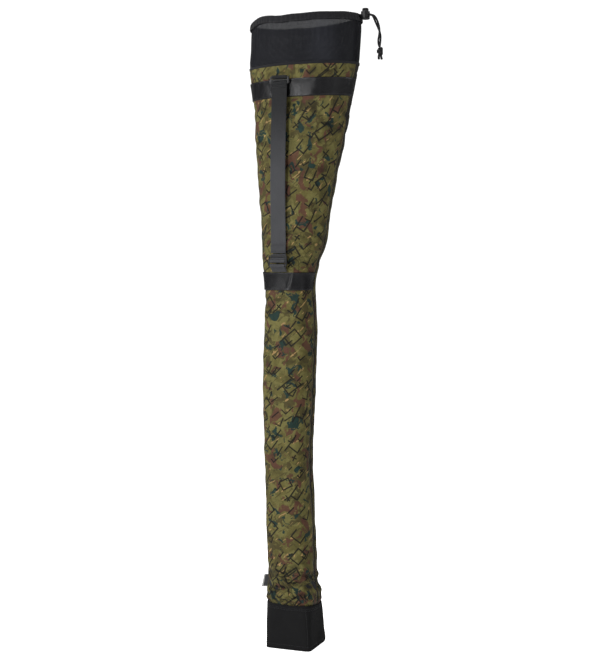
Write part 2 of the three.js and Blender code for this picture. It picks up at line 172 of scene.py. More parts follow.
class Graph:
    """A material under construction, with one Principled shader."""

    def __init__(self, name: str) -> None:
        """Starts an empty node tree.

        Args:
            name: The material's name.
        """
        self.material = bpy.data.materials.new(name)
        self.material.use_nodes = True
        self.tree = self.material.node_tree
        self.tree.nodes.clear()
        self.shader = self.tree.nodes.new("ShaderNodeBsdfPrincipled")
        self.output = self.tree.nodes.new("ShaderNodeOutputMaterial")
        self.tree.links.new(self.shader.outputs[0], self.output.inputs[0])

    def add(self, kind: str, settings: dict | None = None, inputs: dict | None = None) -> Made:
        """Adds a node.

        Args:
            kind: The node's type.
            settings: Properties of the node, set first.
            inputs: Values or wires by socket name or number.

        Returns:
            The node that was made.
        """
        node = self.tree.nodes.new(kind)
        for key, value in (settings or {}).items():
            setattr(node, key, value)
        for key, value in (inputs or {}).items():
            self.plug(node.inputs[key], value)
        return Made(self, node)

    def plug(self, socket: bpy.types.NodeSocket, value: "Wire | float | Sequence[float]") -> None:
        """Links a wire to a socket or sets its value."""
        if isinstance(value, Wire):
            self.tree.links.new(value.socket, socket)
        elif isinstance(value, (tuple, list)) and len(value) == 3 and socket.type == "RGBA":
            socket.default_value = (*value, 1.0)
        else:
            socket.default_value = value

    def set(self, **sockets: "Wire | float | Sequence[float]") -> None:
        """Sets sockets of the Principled shader; an underscore in a name stands for a space."""
        for name, value in sockets.items():
            self.plug(self.shader.inputs[name.replace("_", " ")], value)

    def place(self) -> Wire:
        """The place on the object, in millimetres."""
        here = self.add("ShaderNodeTexCoord").out("Object")
        return self.scaled(here, (1000.0, 1000.0, 1000.0))

    def cloth_place(self) -> Wire:
        """The place on the flat cloth, in millimetres across and along."""
        flat = self.add("ShaderNodeUVMap", {"uv_map": CLOTH_UV}).out("UV")
        return self.scaled(flat, (1000.0, 1000.0, 1000.0))

    def scaled(
        self, vector: Wire, factors: Sequence[float], shift: "Wire | Sequence[float]" = (0, 0, 0)
    ) -> Wire:
        """A vector scaled and then shifted."""
        settings = {"operation": "MULTIPLY_ADD"}
        return self.add("ShaderNodeVectorMath", settings, {0: vector, 1: factors, 2: shift}).out(0)

    def turned(self, vector: Wire, angle: float) -> Wire:
        """A vector turned about Z by an angle in radians."""
        settings = {"rotation_type": "Z_AXIS"}
        return self.add("ShaderNodeVectorRotate", settings, {"Vector": vector, "Angle": angle}).out(0)

    def parts(self, vector: Wire) -> tuple[Wire, Wire, Wire]:
        """The three numbers of a vector."""
        split = self.add("ShaderNodeSeparateXYZ", None, {0: vector})
        return split.out(0), split.out(1), split.out(2)

    def noise(
        self, at: Wire, size: float, detail: float = 2.0, distortion: float = 0.0, rough: float = 0.5
    ) -> Wire:
        """Noise from 0 to 1.

        Args:
            at: The place in millimetres.
            size: The size of its features in millimetres.
            detail: How many finer layers it has.
            distortion: How much it is swirled.
            rough: How strong the finer layers are.

        Returns:
            The noise.
        """
        inputs = {"Vector": at, "Scale": 1 / size, "Detail": detail}
        inputs |= {"Distortion": distortion, "Roughness": rough}
        return self.add("ShaderNodeTexNoise", None, inputs).out(0)

    def mix(
        self,
        factor: "Wire | float",
        low: "Wire | Sequence[float]",
        high: "Wire | Sequence[float]",
        blend: str = "MIX",
    ) -> Wire:
        """A colour between two colours, or another blend of them.

        Args:
            factor: How much of the second colour applies.
            low: The first colour.
            high: The second colour.
            blend: The Mix node's blend type.

        Returns:
            The colour.
        """
        settings = {"data_type": "RGBA", "blend_type": blend}
        inputs = {MIX_FACTOR: factor, MIX_LOW: low, MIX_HIGH: high}
        return self.add("ShaderNodeMix", settings, inputs).out(MIX_RESULT)

    def shade(self, colour: "Wire | Sequence[float]", factor: Wire) -> Wire:
        """A colour made darker or lighter by a number."""
        grey = self.add("ShaderNodeCombineColor", None, {0: factor, 1: factor, 2: factor}).out(0)
        return self.mix(1.0, colour, grey, "MULTIPLY")

    def bump(self, height: Wire, depth: float, strength: float = 1.0) -> None:
        """Feeds a height to the shader's normal; depth is in millimetres."""
        inputs = {"Height": height, "Distance": depth * MM, "Strength": strength}
        self.set(Normal=self.add("ShaderNodeBump", None, inputs).out(0))

    def see_through(self, cover: Wire) -> None:
        """Mixes the shader with a clear one; cover is 1 on thread and 0 in a hole."""
        clear = self.add("ShaderNodeBsdfTransparent").out(0)
        cloth = Wire(self, self.shader.outputs[0])
        mixed = self.add("ShaderNodeMixShader", None, {0: cover, 1: clear, 2: cloth}).out(0)
        self.plug(self.output.inputs[0], mixed)


# ---------------------------------------------------------------- finishes


@dataclass(frozen=True)
class PrintedRipstop:
    """Camouflage print of olive, brown, deep green and tan, with thin dark figures over it, and painted
    shade in folds, creases, seam grooves and behind the right seam.
    """

    olive: tuple[float, float, float] = (0.105, 0.091, 0.026)
    light_olive: tuple[float, float, float] = (0.142, 0.128, 0.040)
    shade_olive: tuple[float, float, float] = (0.066, 0.054, 0.018)
    brown: tuple[float, float, float] = (0.088, 0.036, 0.023)
    green: tuple[float, float, float] = (0.012, 0.030, 0.024)
    tan: tuple[float, float, float] = (0.330, 0.215, 0.085)
    ink: tuple[float, float, float] = (0.006, 0.005, 0.004)
    stroke: float = 1.4  # half of a line's width, mm
    figure_cell: float = 52.0  # spacing of the large figures, mm
    mark_cell: float = 26.0  # spacing of the small marks, mm
    ripstop: float = 5.0  # spacing of the reinforcing threads, mm
    thread: float = 0.8  # spacing of the plain threads, mm
    ink_cover: float = 0.93  # how far the figures hide the colours
    swirl: float = 16.0  # how far the patches are pulled about, mm
    stroke_slant: float = -0.7  # slant of the olive strokes, radians
    crease_slant: float = 0.62  # slant of the long creases, radians
    boot_creases: float = 112.0  # height of the creases above the boot, mm
    waist_creases: float = 745.0  # height of the creases at the waist, mm

    def material(self) -> bpy.types.Material:
        """Builds the material."""
        g = Graph("printed_ripstop")
        flat = g.cloth_place()
        colour = self._blotches(g, flat)
        ink = self._figures(g, flat) | self._marks(g, flat)
        colour = g.mix(ink * self.ink_cover, colour, self.ink)
        u, v, _ = g.parts(flat)
        grid = self._grid(u) | self._grid(v)
        dust = g.noise(flat, 1.6, 3.0)
        slow = g.noise(flat, 60.0, 2.0)
        patchy = g.noise(flat, 7.0, 3.0, 0.3, 0.6)
        colour = g.shade(colour, 0.50 + dust * 0.30 + slow * 0.22 + patchy * 0.55 - grid * 0.07)
        colour, z = self._side_seams_and_shade(g, colour)
        # Painted shade: the colour is darker in the valleys of the folds and along the crease lines.
        valley = g.add("ShaderNodeAttribute", {"attribute_name": VALLEY}).out("Fac")
        wrinkle = self._wrinkles(g, flat, z)
        colour = g.shade(colour, 1 - valley * 0.5 - wrinkle * 0.62)
        threads = u.wave(self.thread) * 0.3 + v.wave(self.thread) * 0.3
        weave = threads + grid * 0.8 + dust * 0.5 - wrinkle * 6.0
        g.set(Base_Color=colour, Roughness=0.62 + dust * 0.2, Specular_IOR_Level=0.2)
        g.set(Sheen_Weight=0.05, Sheen_Roughness=0.4)
        g.bump(weave, 0.12)
        return g.material

    def _side_seams_and_shade(self, g: Graph, colour: Wire) -> tuple[Wire, Wire]:
        """Paints a dark line along both side seams, widening at the top right, partly a dark seam and partly
        painted shade in its groove, and painted shade on the cloth just behind the right seam.

        Args:
            g: The material's graph.
            colour: The colour of the cloth.

        Returns:
            The darkened colour, and the height in millimetres.
        """
        x, y, z = g.parts(g.place())
        wide = z.step(900.0, 1060.0) * x.step(0.0, 20.0)
        # The seam line: partly a dark seam, partly painted shade in the seam's groove.
        seam = 1 - (abs(y - 0.9 - wide * 2.0) - 2.2 - wide * 8.0).step(0.0, 1.0)
        # Painted shade: the back cloth just behind the right seam is darker, where that side turns away from
        # the light.
        beside = y.step(1.0, 6.0) * (1 - y.step(26.0, 44.0)) * x.step(-5.0, 15.0)
        return g.mix(seam * 0.9, g.shade(colour, 1 - beside * 0.32), self.ink), z

    def _wrinkles(self, g: Graph, flat: Wire, z: Wire) -> Wire:
        """Sharp slanting creases, painted as shade in the colour and as a bump: many above the boot, fewer
        round the lower band, hardly any elsewhere.

        Args:
            g: The material's graph.
            flat: The place on the cloth in millimetres.
            z: The height in millimetres.

        Returns:
            How deep the place lies in a crease, from 0 to 1.
        """
        low = (1 - abs(z - self.boot_creases).step(26.0, 58.0)) * 1.25
        waist = (1 - abs(z - self.waist_creases).step(20.0, 90.0)) * 0.75
        much = low | waist | 0.22
        turned = g.turned(flat, self.crease_slant)
        long = g.noise(g.scaled(turned, (0.42, 1.0, 0.0), (83.0, 41.0, 0.0)), 21.0, 1.5, 1.1)
        short = g.noise(g.scaled(flat, (0.5, 1.1, 0.0), (530.0, 77.0, 0.0)), 15.0, 1.5, 1.4)
        first = 1 - abs(long - 0.5).step(0.0, 0.030)
        second = (1 - abs(short - 0.52).step(0.0, 0.026)) * 0.8
        return (first | second) * much

    def _grid(self, along: Wire) -> Wire:
        """A thin line at every ripstop thread."""
        return along.wave(self.ripstop).step(0.955, 0.99)

    def _blotches(self, g: Graph, flat: Wire) -> Wire:
        """The soft camouflage colours.

        Args:
            g: The material's graph.
            flat: The place on the cloth in millimetres.

        Returns:
            The colour before the dark figures.
        """
        inputs = {"Vector": flat, "Scale": 1 / self.swirl, "Detail": 1.0}
        warp = g.add("ShaderNodeTexNoise", None, inputs).out("Color")
        bent = g.scaled(warp, (self.swirl, self.swirl, 0.0), flat)

        def patches(shift: float, size: float, tall: float = 0.8) -> Wire:
            """Blocky noise over a part of the plane that no other patches use."""
            at = g.scaled(bent, (1.0, tall, 0.0), (shift, shift * 0.7, 0.0))
            return g.noise(at, size, 3.2, 0.6, 0.56)

        colour = g.mix(patches(900, 34).step(0.47, 0.53), self.olive, self.light_olive)
        colour = g.mix(patches(1700, 27).step(0.555, 0.575), colour, self.shade_olive)
        colour = g.mix(patches(5900, 9).step(0.56, 0.66) * 0.5, colour, self.light_olive)
        slanting = g.scaled(g.turned(flat, self.stroke_slant), (0.34, 1.2, 0.0), (715.0, 390.0, 0.0))
        strokes = g.noise(slanting, 9.5, 2.0, 0.4).step(0.585, 0.625)
        colour = g.mix(strokes * 0.75, colour, self.shade_olive)
        at = g.scaled(slanting, (1.0, 1.0, 0.0), (95.0, 60.0, 0.0))
        dashes = g.noise(at, 8.0, 2.0, 0.4).step(0.64, 0.68)
        colour = g.mix(dashes, colour, self.tan)
        brown = patches(3500, 24).step(0.56, 0.60)
        colour = g.mix(brown * 0.9, colour, self.brown)
        green = patches(4600, 21, 1.0).step(0.60, 0.62)
        return g.mix(green, colour, self.green)

    @staticmethod
    def _cells(g: Graph, flat: Wire, size: float, shift: float) -> tuple[Wire, Wire, Wire, Wire, Wire]:
        """Splits the cloth into cells that are each turned by an angle of their own.

        Args:
            g: The material's graph.
            flat: The place on the cloth in millimetres.
            size: The spacing of the cells.
            shift: Moves this set of cells away from the others.

        Returns:
            Place across and along inside the cell, and three random numbers of the cell.
        """
        at = g.scaled(flat, (1.0, 1.0, 0.0), (shift, shift, 0.0))
        settings = {"voronoi_dimensions": "2D"}
        inputs = {"Vector": at, "Scale": 1 / size, "Randomness": 0.92}
        cell = g.add("ShaderNodeTexVoronoi", settings, inputs)
        middle = g.scaled(cell.out("Position"), (1.0, 1.0, 0.0))
        offset = g.add("ShaderNodeVectorMath", {"operation": "SUBTRACT"}, {0: at, 1: middle}).out(0)
        chance = g.add("ShaderNodeSeparateColor", None, {0: cell.out("Color")})
        first, second, third = chance.out(0), chance.out(1), chance.out(2)
        x, y, _ = g.parts(offset)
        turn = 0.35 + first * 0.9
        across = x * turn.cos() + y * turn.sin()
        along = y * turn.cos() - x * turn.sin()
        return across, along, first, second, third

    def _figures(self, g: Graph, flat: Wire) -> Wire:
        """Large rectangles, some with a side left out and some with a line that runs on past a corner."""
        x, y, first, second, third = self._cells(g, flat, self.figure_cell, 310.0)
        half_x = 9.0 + second * 7.0
        half_y = 7.0 + third * 4.0
        out_x, out_y = abs(x) - half_x, abs(y) - half_y
        edge = abs(out_x | out_y) < self.stroke
        open_side = (first > 0.55) & (x > half_x * 0.6)
        whole = edge & (1 - open_side)
        run_on = (abs(y - half_y) < self.stroke) & (abs(x + half_x) < half_x * 0.9)
        return whole | (run_on & (second > 0.5))

    def _marks(self, g: Graph, flat: Wire) -> Wire:
        """Small corners, crosses and bars."""
        x, y, first, second, third = self._cells(g, flat, self.mark_cell, 1450.0)
        reach = 5.0 + third * 6.5
        thick = self.stroke * 0.9
        bar = (abs(y) < thick) & (abs(x) < reach)
        corner = (abs(x + reach) < thick) & (abs(y - reach * 0.5) < reach * 0.5 + thick)
        cross = (abs(x) < thick) & (abs(y) < reach * 0.8)
        shape = bar | (corner & (second > 0.35)) | (cross & (second < 0.16))
        return shape & (first > 0.22)


class Weave(Enum):
    """How the threads of a plain black cloth run."""

    PLAIN = "plain"
    RIBBED = "ribbed"
    FINE = "fine"


@dataclass(frozen=True)
class BlackCloth:
    """Plain woven cloth with threads, lint and a slow variation of tone, and where given painted shade that
    darkens it above a height.
    """

    name: str
    colour: tuple[float, float, float]
    pitch: float = 0.9
    roughness: float = 0.85
    sheen: float = 0.1
    weave: Weave = Weave.PLAIN
    depth: float = 0.15
    gloss: float = 0.12
    shade_above: float | None = None  # the height above which the cloth is painted darker as painted shade, mm
    shade_run: float = 170.0  # over how far below that height the painted shade fades in, mm

    def material(self) -> bpy.types.Material:
        """Builds the material."""
        g = Graph(self.name)
        flat = g.cloth_place()
        u, v, _ = g.parts(flat)
        if self.weave is Weave.RIBBED:
            rib = u.wave(self.pitch * 2.5)
            height = rib * 0.8 + (v + rib * self.pitch).wave(self.pitch) * 0.4
        elif self.weave is Weave.FINE:
            height = u.wave(self.pitch) * 0.5 + v.wave(self.pitch * 0.7) * 0.5
        else:
            height = (u.wave(self.pitch) - 0.5) * (v.wave(self.pitch) - 0.5) * 2 + 0.5
        lint = g.noise(flat, 0.7, 4.0, 0.0, 0.7)
        slow = g.noise(flat, 34.0, 2.0)
        tone = 0.62 + height * 0.3 + lint * 0.3 + slow * 0.28
        # Painted shade: above the given height the cloth is darker, the way light falls along the strap.
        if self.shade_above is not None:
            z = g.parts(g.place())[2]
            upper_shade = z.step(self.shade_above - self.shade_run, self.shade_above)
            tone = tone * (1 - upper_shade * 0.72)
        g.set(Base_Color=g.shade(self.colour, tone), Roughness=self.roughness - lint * 0.12)
        g.set(Sheen_Weight=self.sheen, Sheen_Roughness=0.5, Specular_IOR_Level=self.gloss)
        g.bump(height + lint * 0.4, self.depth)
        return g.material


@dataclass(frozen=True)
class CoatedBand:
    """Black coated fabric with a soft gloss, fine grain and faint rubbed creases."""

    colour: tuple[float, float, float] = (0.006, 0.006, 0.007)
    roughness: float = 0.17
    pore: float = 1.3  # size of the grain, mm

    def material(self) -> bpy.types.Material:
        """Builds the material."""
        g = Graph("coated_band")
        flat = g.cloth_place()
        settings = {"feature": "DISTANCE_TO_EDGE"}
        pores = g.add("ShaderNodeTexVoronoi", settings, {"Vector": flat, "Scale": 1 / self.pore}).out(0)
        grain = pores.step(0.0, 0.25)
        stretched = g.scaled(flat, (1.0, 0.25, 1.0))
        crease = g.noise(stretched, 7.0, 3.0, 1.4)
        rub = g.noise(flat, 16.0, 4.0)
        g.set(
            Base_Color=g.shade(self.colour, 0.65 + rub * 0.5 + grain * 0.2),
            Roughness=self.roughness + rub * 0.14 - grain * 0.04,
            Specular_IOR_Level=0.32,
        )
        g.bump(grain * 0.3 + crease * 1.4, 0.22)
        return g.material


@dataclass(frozen=True)
class OpenMesh:
    """Fine knitted mesh with small oval holes, and an upright band of painted sheen at its right side."""

    colour: tuple[float, float, float] = (0.0085, 0.009, 0.0115)
    pitch: float = 1.7
    hole_cover: float = 0.70

    def material(self) -> bpy.types.Material:
        """Builds the material."""
        g = Graph("open_mesh")
        flat = g.cloth_place()
        u, v, _ = g.parts(flat)
        row = v.wave(self.pitch * 2)
        hole = (u + row * (self.pitch / 2)).wave(self.pitch) & v.wave(self.pitch * 0.9)
        thread = 1 - hole.step(0.62, 0.86)
        slow = g.noise(flat, 24.0, 2.0)
        x, _, _ = g.parts(g.place())
        # Painted sheen: an upright band at the right side is made lighter, as light falls on the collar
        # there.
        painted_sheen = x.step(40.0, 76.0) * (1 - x.step(82.0, 112.0))
        tone = (0.50 + thread * 0.5 + slow * 0.5) * (0.92 + painted_sheen * 0.75)
        g.set(Base_Color=g.shade(self.colour, tone), Roughness=0.7, Specular_IOR_Level=0.12)
        g.set(Sheen_Weight=0.02, Sheen_Roughness=0.4)
        g.bump(thread, 0.25)
        g.see_through(self.hole_cover + thread * (0.995 - self.hole_cover))
        return g.material


@dataclass(frozen=True)
class Moulded:
    """Satin moulded plastic with a faint mould texture and smears."""

    name: str = "moulded_plastic"
    colour: tuple[float, float, float] = (0.009, 0.009, 0.0095)
    roughness: float = 0.32

    def material(self) -> bpy.types.Material:
        """Builds the material."""
        g = Graph(self.name)
        here = g.place()
        grit = g.noise(here, 0.5, 3.0)
        smear = g.noise(here, 6.0, 3.0)
        g.set(
            Base_Color=g.shade(self.colour, 0.75 + smear * 0.5),
            Roughness=self.roughness + smear * 0.16 + grit * 0.08,
            Specular_IOR_Level=0.3,
        )
        g.bump(grit, 0.05)
        return g.material


@dataclass(frozen=True)
class Braid:
    """Round braided cord: two sets of strands that cross at a slant."""

    colour: tuple[float, float, float] = (0.007, 0.007, 0.008)
    pitch: float = 1.5  # spacing of the strands, mm

    def material(self) -> bpy.types.Material:
        """Builds the material."""
        g = Graph("cord")
        x, y, z = g.parts(g.place())
        around = x * 0.8 + y * 0.8
        strands = (z + around).wave(self.pitch) | (z - around).wave(self.pitch)
        fuzz = g.noise(g.place(), 0.5, 3.0)
        g.set(Base_Color=g.shade(self.colour, 0.5 + strands * 0.6 + fuzz * 0.3), Roughness=0.7)
        g.set(Sheen_Weight=0.05, Sheen_Roughness=0.4, Specular_IOR_Level=0.3)
        g.bump(strands + fuzz * 0.4, 0.2)
        return g.material


@dataclass(frozen=True)
class SpringSteel:
    """Bright drawn wire."""

    colour: tuple[float, float, float] = (0.6, 0.6, 0.62)

    def material(self) -> bpy.types.Material:
        """Builds the material."""
        g = Graph("spring_steel")
        drawn = g.noise(g.place(), 0.3, 2.0)
        g.set(Base_Color=g.shade(self.colour, 0.85 + drawn * 0.2), Metallic=1.0)
        g.set(Roughness=0.22 + drawn * 0.15)
        g.bump(drawn, 0.01)
        return g.material


@dataclass(frozen=True)
class WovenTag:
    """A blank woven tag, dark with a pale outer end."""

    dark: tuple[float, float, float] = (0.030, 0.030, 0.032)
    pale: tuple[float, float, float] = (0.36, 0.36, 0.35)
    pale_from: float = 14.6  # mm from the seam
    pale_below: float = -10.2  # mm from the middle

    def material(self) -> bpy.types.Material:
        """Builds the material."""
        g = Graph("woven_tag")
        flat = g.cloth_place()
        u, v, _ = g.parts(flat)
        end = u.step(self.pale_from, self.pale_from + 0.5)
        foot = 1 - v.step(self.pale_below - 0.5, self.pale_below)
        pale = end | foot
        threads = u.wave(0.7) * 0.5 + v.wave(0.5) * 0.5
        colour = g.shade(g.mix(pale, self.dark, self.pale), 0.75 + threads * 0.35)
        g.set(Base_Color=colour, Roughness=0.7 + threads * 0.1)
        g.bump(threads, 0.08)
        return g.material


@dataclass(frozen=True)
class StudioFloor:
    """A plain pale floor."""

    colour: tuple[float, float, float] = (0.93, 0.93, 0.93)
    glow: float = 1.0

    def material(self) -> bpy.types.Material:
        """Builds the material."""
        g = Graph("studio_floor")
        seen = g.add("ShaderNodeLightPath").out("Is Camera Ray")
        g.set(Base_Color=self.colour, Roughness=0.9, Emission_Color=g.mix(seen, (0, 0, 0), (1, 1, 1)))
        g.set(Emission_Strength=self.glow)
        return g.material


class Finish(Enum):
    """Every finish of the bag, with the name of its material slot."""

    PRINT = PrintedRipstop(), "printed_ripstop"
    BOOT = (
        BlackCloth("boot_fabric", (0.012, 0.012, 0.0125), 0.8, 0.9, 0.02, Weave.PLAIN, 0.15, 0.06),
        "boot_fabric",
    )
    LINING = BlackCloth("lining", (0.016, 0.016, 0.018), 0.6, 0.8, 0.05, Weave.FINE), "lining"
    BAND = CoatedBand(), "coated_band"
    MESH = OpenMesh(), "open_mesh"
    HEM = BlackCloth("hem_tape", (0.013, 0.013, 0.015), 0.7, 0.8, 0.08, Weave.FINE), "hem_tape"
    TAPE = BlackCloth("seam_tape", (0.007, 0.007, 0.008), 0.7, 0.9, 0.02, Weave.FINE, 0.1, 0.05), "hem_tape"
    # The webbing is painted darker above 1060 mm, as painted shade.
    WEBBING = (
        BlackCloth("webbing", (0.050, 0.051, 0.055), 0.75, 0.55, 0.08, Weave.RIBBED, 0.3, 0.12, 1060.0),
        "webbing",
    )
    CORD = Braid(), "cord"
    PLASTIC = Moulded(), "moulded_plastic"
    STEEL = SpringSteel(), "spring_steel"
    TAG = WovenTag(), "woven_tag"
    FOAM = BlackCloth("foam", (0.05, 0.05, 0.055), 1.1, 0.9, 0.0), "foam"
    BOARD = Moulded("base_board", (0.03, 0.03, 0.03), 0.5), "base_board"
    THREAD = BlackCloth("thread", (0.030, 0.030, 0.033), 0.4, 0.6, 0.2, Weave.FINE), "webbing"

    @property
    def slot(self) -> str:
        """The record's material slot."""
        return self.value[1]

    def material(self) -> bpy.types.Material:
        """The material, made once."""
        found = _MATERIALS.get(self.name)
        if found is None:
            found = _MATERIALS[self.name] = self.value[0].material()
        return found


_MATERIALS: dict[str, bpy.types.Material] = {}


# ---------------------------------------------------------------- meshes


def object_of(name: str, data: bpy.types.ID) -> bpy.types.Object:
    """Links new object data into the scene."""
    made = bpy.data.objects.new(name, data)
    bpy.context.scene.collection.objects.link(made)
    return made


def dress(
    piece: bpy.types.Object, finish: Finish, body: str | None, stands_for: Sequence[str] = ()
) -> bpy.types.Object:
    """Gives a piece its finish and its body, and hides the CAD nodes it stands for.

    Args:
        piece: The finished piece.
        finish: What it is made of.
        body: The body that it rides on, or None where it bends between two.
        stands_for: The CAD nodes that it replaces.

    Returns:
        The same piece.
    """
    piece.data.materials.clear()
    piece.data.materials.append(finish.material())
    if stands_for:
        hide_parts(*stands_for)
    if body:
        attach(piece, body)
    LOG.info("%s: %s on %s", piece.name, finish.slot, body or "two bodies")
    return piece


def smooth(piece: bpy.types.Object, angle: float | None = None) -> None:
    """Shades a mesh smooth, with sharp edges past an angle in degrees."""
    mesh = piece.data
    mesh.shade_smooth()
    if angle is not None:
        mesh.set_sharp_from_angle(angle=math.radians(angle))


def solid_mesh(name: str, points: np.ndarray, faces: Sequence[Sequence[int]]) -> bpy.types.Object:
    """A mesh from points in millimetres."""
    mesh = bpy.data.meshes.new(name)
    mesh.from_pydata((np.asarray(points, float).reshape(-1, 3) * MM).tolist(), [], [list(f) for f in faces])
    mesh.validate()
    mesh.update()
    return object_of(name, mesh)


def quad_grid(rows: int, columns: int, wrap_rows: bool, wrap_columns: bool) -> list[tuple[int, ...]]:
    """The faces of a grid of points, row by row."""
    faces = []
    for r in range(rows if wrap_rows else rows - 1):
        above = (r + 1) % rows
        for c in range(columns if wrap_columns else columns - 1):
            beside = (c + 1) % columns
            corners = ((r, c), (r, beside), (above, beside), (above, c))
            faces.append(tuple(row * columns + column for row, column in corners))
    return faces


def grid_mesh(
    name: str,
    points: np.ndarray,
    flat: np.ndarray | None = None,
    wrap_rows: bool = False,
    wrap_columns: bool = False,
) -> bpy.types.Object:
    """A mesh from a grid of points, with the flat cloth's places as its UV map.

    Args:
        name: The piece's name.
        points: Rows of columns of places in millimetres.
        flat: Places on the flat cloth in millimetres, with one row or column more where the grid wraps.
        wrap_rows: Whether the last row joins the first.
        wrap_columns: Whether the last column joins the first.

    Returns:
        The piece.
    """
    rows, columns = points.shape[:2]
    piece = solid_mesh(name, points, quad_grid(rows, columns, wrap_rows, wrap_columns))
    if flat is not None:
        layer = piece.data.uv_layers.new(name=CLOTH_UV)
        corners = [
            (flat[r, c], flat[r, c + 1], flat[r + 1, c + 1], flat[r + 1, c])
            for r in range(rows if wrap_rows else rows - 1)
            for c in range(columns if wrap_columns else columns - 1)
        ]
        layer.data.foreach_set("uv", (np.array(corners).reshape(-1) * MM).astype(np.float32))
    smooth(piece)
    return piece


def curve_tube(name: str, points: np.ndarray, radius: float) -> bpy.types.Object:
    """A round cord through points in millimetres, as a curve."""
    data = bpy.data.curves.new(name, "CURVE")
    data.dimensions = "3D"
    data.bevel_depth = radius * MM
    data.bevel_resolution = 4
    data.resolution_u = 6
    data.use_fill_caps = True
    spline = data.splines.new("BEZIER")
    spline.bezier_points.add(len(points) - 1)
    for bezier, point in zip(spline.bezier_points, points):
        bezier.co = Vector(point) * MM
        bezier.handle_left_type = bezier.handle_right_type = "AUTO"
    return object_of(name, data)


def to_mesh(piece: bpy.types.Object) -> bpy.types.Object:
    """Turns a curve, or a mesh with modifiers, into a plain mesh."""
    bpy.context.view_layer.update()
    seen = piece.evaluated_get(bpy.context.evaluated_depsgraph_get())
    mesh = bpy.data.meshes.new_from_object(seen)
    name = piece.name
    made = object_of(name + "_mesh", mesh)
    bpy.data.objects.remove(piece)
    made.name = name
    mesh.name = name
    return made


def join(name: str, pieces: Iterable[bpy.types.Object]) -> bpy.types.Object:
    """Joins meshes into one piece."""
    pieces = list(pieces)
    bpy.context.view_layer.update()
    with bpy.context.temp_override(active_object=pieces[0], selected_editable_objects=pieces):
        bpy.ops.object.join()
    pieces[0].name = name
    return pieces[0]


def subdivide(piece: bpy.types.Object, levels: int = 1) -> bpy.types.Object:
    """Adds and applies a subdivision surface."""
    modifier = piece.modifiers.new("subdivide", "SUBSURF")
    modifier.levels = modifier.render_levels = levels
    modifier.boundary_smooth = "PRESERVE_CORNERS"
    made = to_mesh(piece)
    smooth(made)
    return made


def mesh_points(piece: bpy.types.Object) -> np.ndarray:
    """A mesh's points in millimetres."""
    flat = np.zeros(len(piece.data.vertices) * 3, np.float32)
    piece.data.vertices.foreach_get("co", flat)
    return flat.reshape(-1, 3).astype(float) / MM


def set_mesh_points(piece: bpy.types.Object, points: np.ndarray) -> None:
    """Moves a mesh's points, given in millimetres."""
    piece.data.vertices.foreach_set("co", (points * MM).astype(np.float32).reshape(-1))
    piece.data.update()


def revolve(
    name: str, profile: Sequence[tuple[float, float]], centre: Vector, around: int = 64
) -> bpy.types.Object:
    """Turns a closed profile of (radius, height) about an upright axis.

    Args:
        name: The piece's name.
        profile: The outline, which starts and ends on the axis.
        centre: The point that heights are measured from, in millimetres.
        around: How many facets.

    Returns:
        The piece, a closed mesh.
    """
    angles = np.arange(around) * 2 * math.pi / around
    rows = [(r * np.cos(angles), r * np.sin(angles), np.full(around, z)) for r, z in profile[1:-1]]
    ring = np.stack([np.stack(row, 1) for row in rows])
    points = np.concatenate([ring.reshape(-1, 3), [[0, 0, profile[0][1]]], [[0, 0, profile[-1][1]]]])
    faces: list[Sequence[int]] = list(quad_grid(len(rows), around, False, True))
    low, high = len(points) - 2, len(points) - 1
    top = (len(rows) - 1) * around
    faces += [(low, (i + 1) % around, i) for i in range(around)]
    faces += [(high, top + i, top + (i + 1) % around) for i in range(around)]
    return solid_mesh(name, points + np.array(centre), faces)


def carve(piece: bpy.types.Object, cutters: Iterable[bpy.types.Object]) -> bpy.types.Object:
    """Cuts solids out of a piece and removes them."""
    cutters = list(cutters)
    for cutter in cutters:
        modifier = piece.modifiers.new("carve", "BOOLEAN")
        modifier.operation = "DIFFERENCE"
        modifier.solver = "EXACT"
        modifier.object = cutter
    made = to_mesh(piece)
    for cutter in cutters:
        bpy.data.objects.remove(cutter)
    return made


def bevel(piece: bpy.types.Object, width: float, angle: float) -> bpy.types.Object:
    """Rounds a mesh's edges past an angle in degrees; width is in millimetres."""
    modifier = piece.modifiers.new("bevel", "BEVEL")
    modifier.width = width * MM
    modifier.segments = 2
    modifier.limit_method = "ANGLE"
    modifier.angle_limit = math.radians(angle)
    made = to_mesh(piece)
    smooth(made, 35)
    return made


def block(name: str, size: Sequence[float], centre: Sequence[float]) -> bpy.types.Object:
    """A closed box to cut with, in millimetres."""
    corners = np.array([(x, y, z) for x in (-0.5, 0.5) for y in (-0.5, 0.5) for z in (-0.5, 0.5)])
    faces = [(0, 1, 3, 2), (4, 6, 7, 5), (0, 4, 5, 1), (2, 3, 7, 6), (0, 2, 6, 4), (1, 5, 7, 3)]
    return solid_mesh(name, corners * np.array(size) + np.array(centre), faces)


def thicken(piece: bpy.types.Object, thickness: float) -> None:
    """Gives a sheet a thickness, in millimetres, towards its inner side."""
    modifier = piece.modifiers.new("thickness", "SOLIDIFY")
    modifier.thickness = thickness * MM
    modifier.offset = -1


def close_ends(piece: bpy.types.Object, only_lowest: bool = False) -> None:
    """Fills the open rims of a mesh, or only its lowest one."""
    work = bmesh.new()
    work.from_mesh(piece.data)
    edges = [e for e in work.edges if e.is_boundary]
    if only_lowest:
        limit = min(v.co.z for v in work.verts) + 5 * MM
        edges = [e for e in edges if all(v.co.z < limit for v in e.verts)]
    bmesh.ops.holes_fill(work, edges=edges)
    if not only_lowest:
        bmesh.ops.recalc_face_normals(work, faces=work.faces)
    work.to_mesh(piece.data)
    work.free()


# ---------------------------------------------------------------- lines and directions


def spans(points: np.ndarray) -> np.ndarray:
    """The distances between neighbouring points of a line."""
    return np.linalg.norm(np.diff(points, axis=0), axis=1)


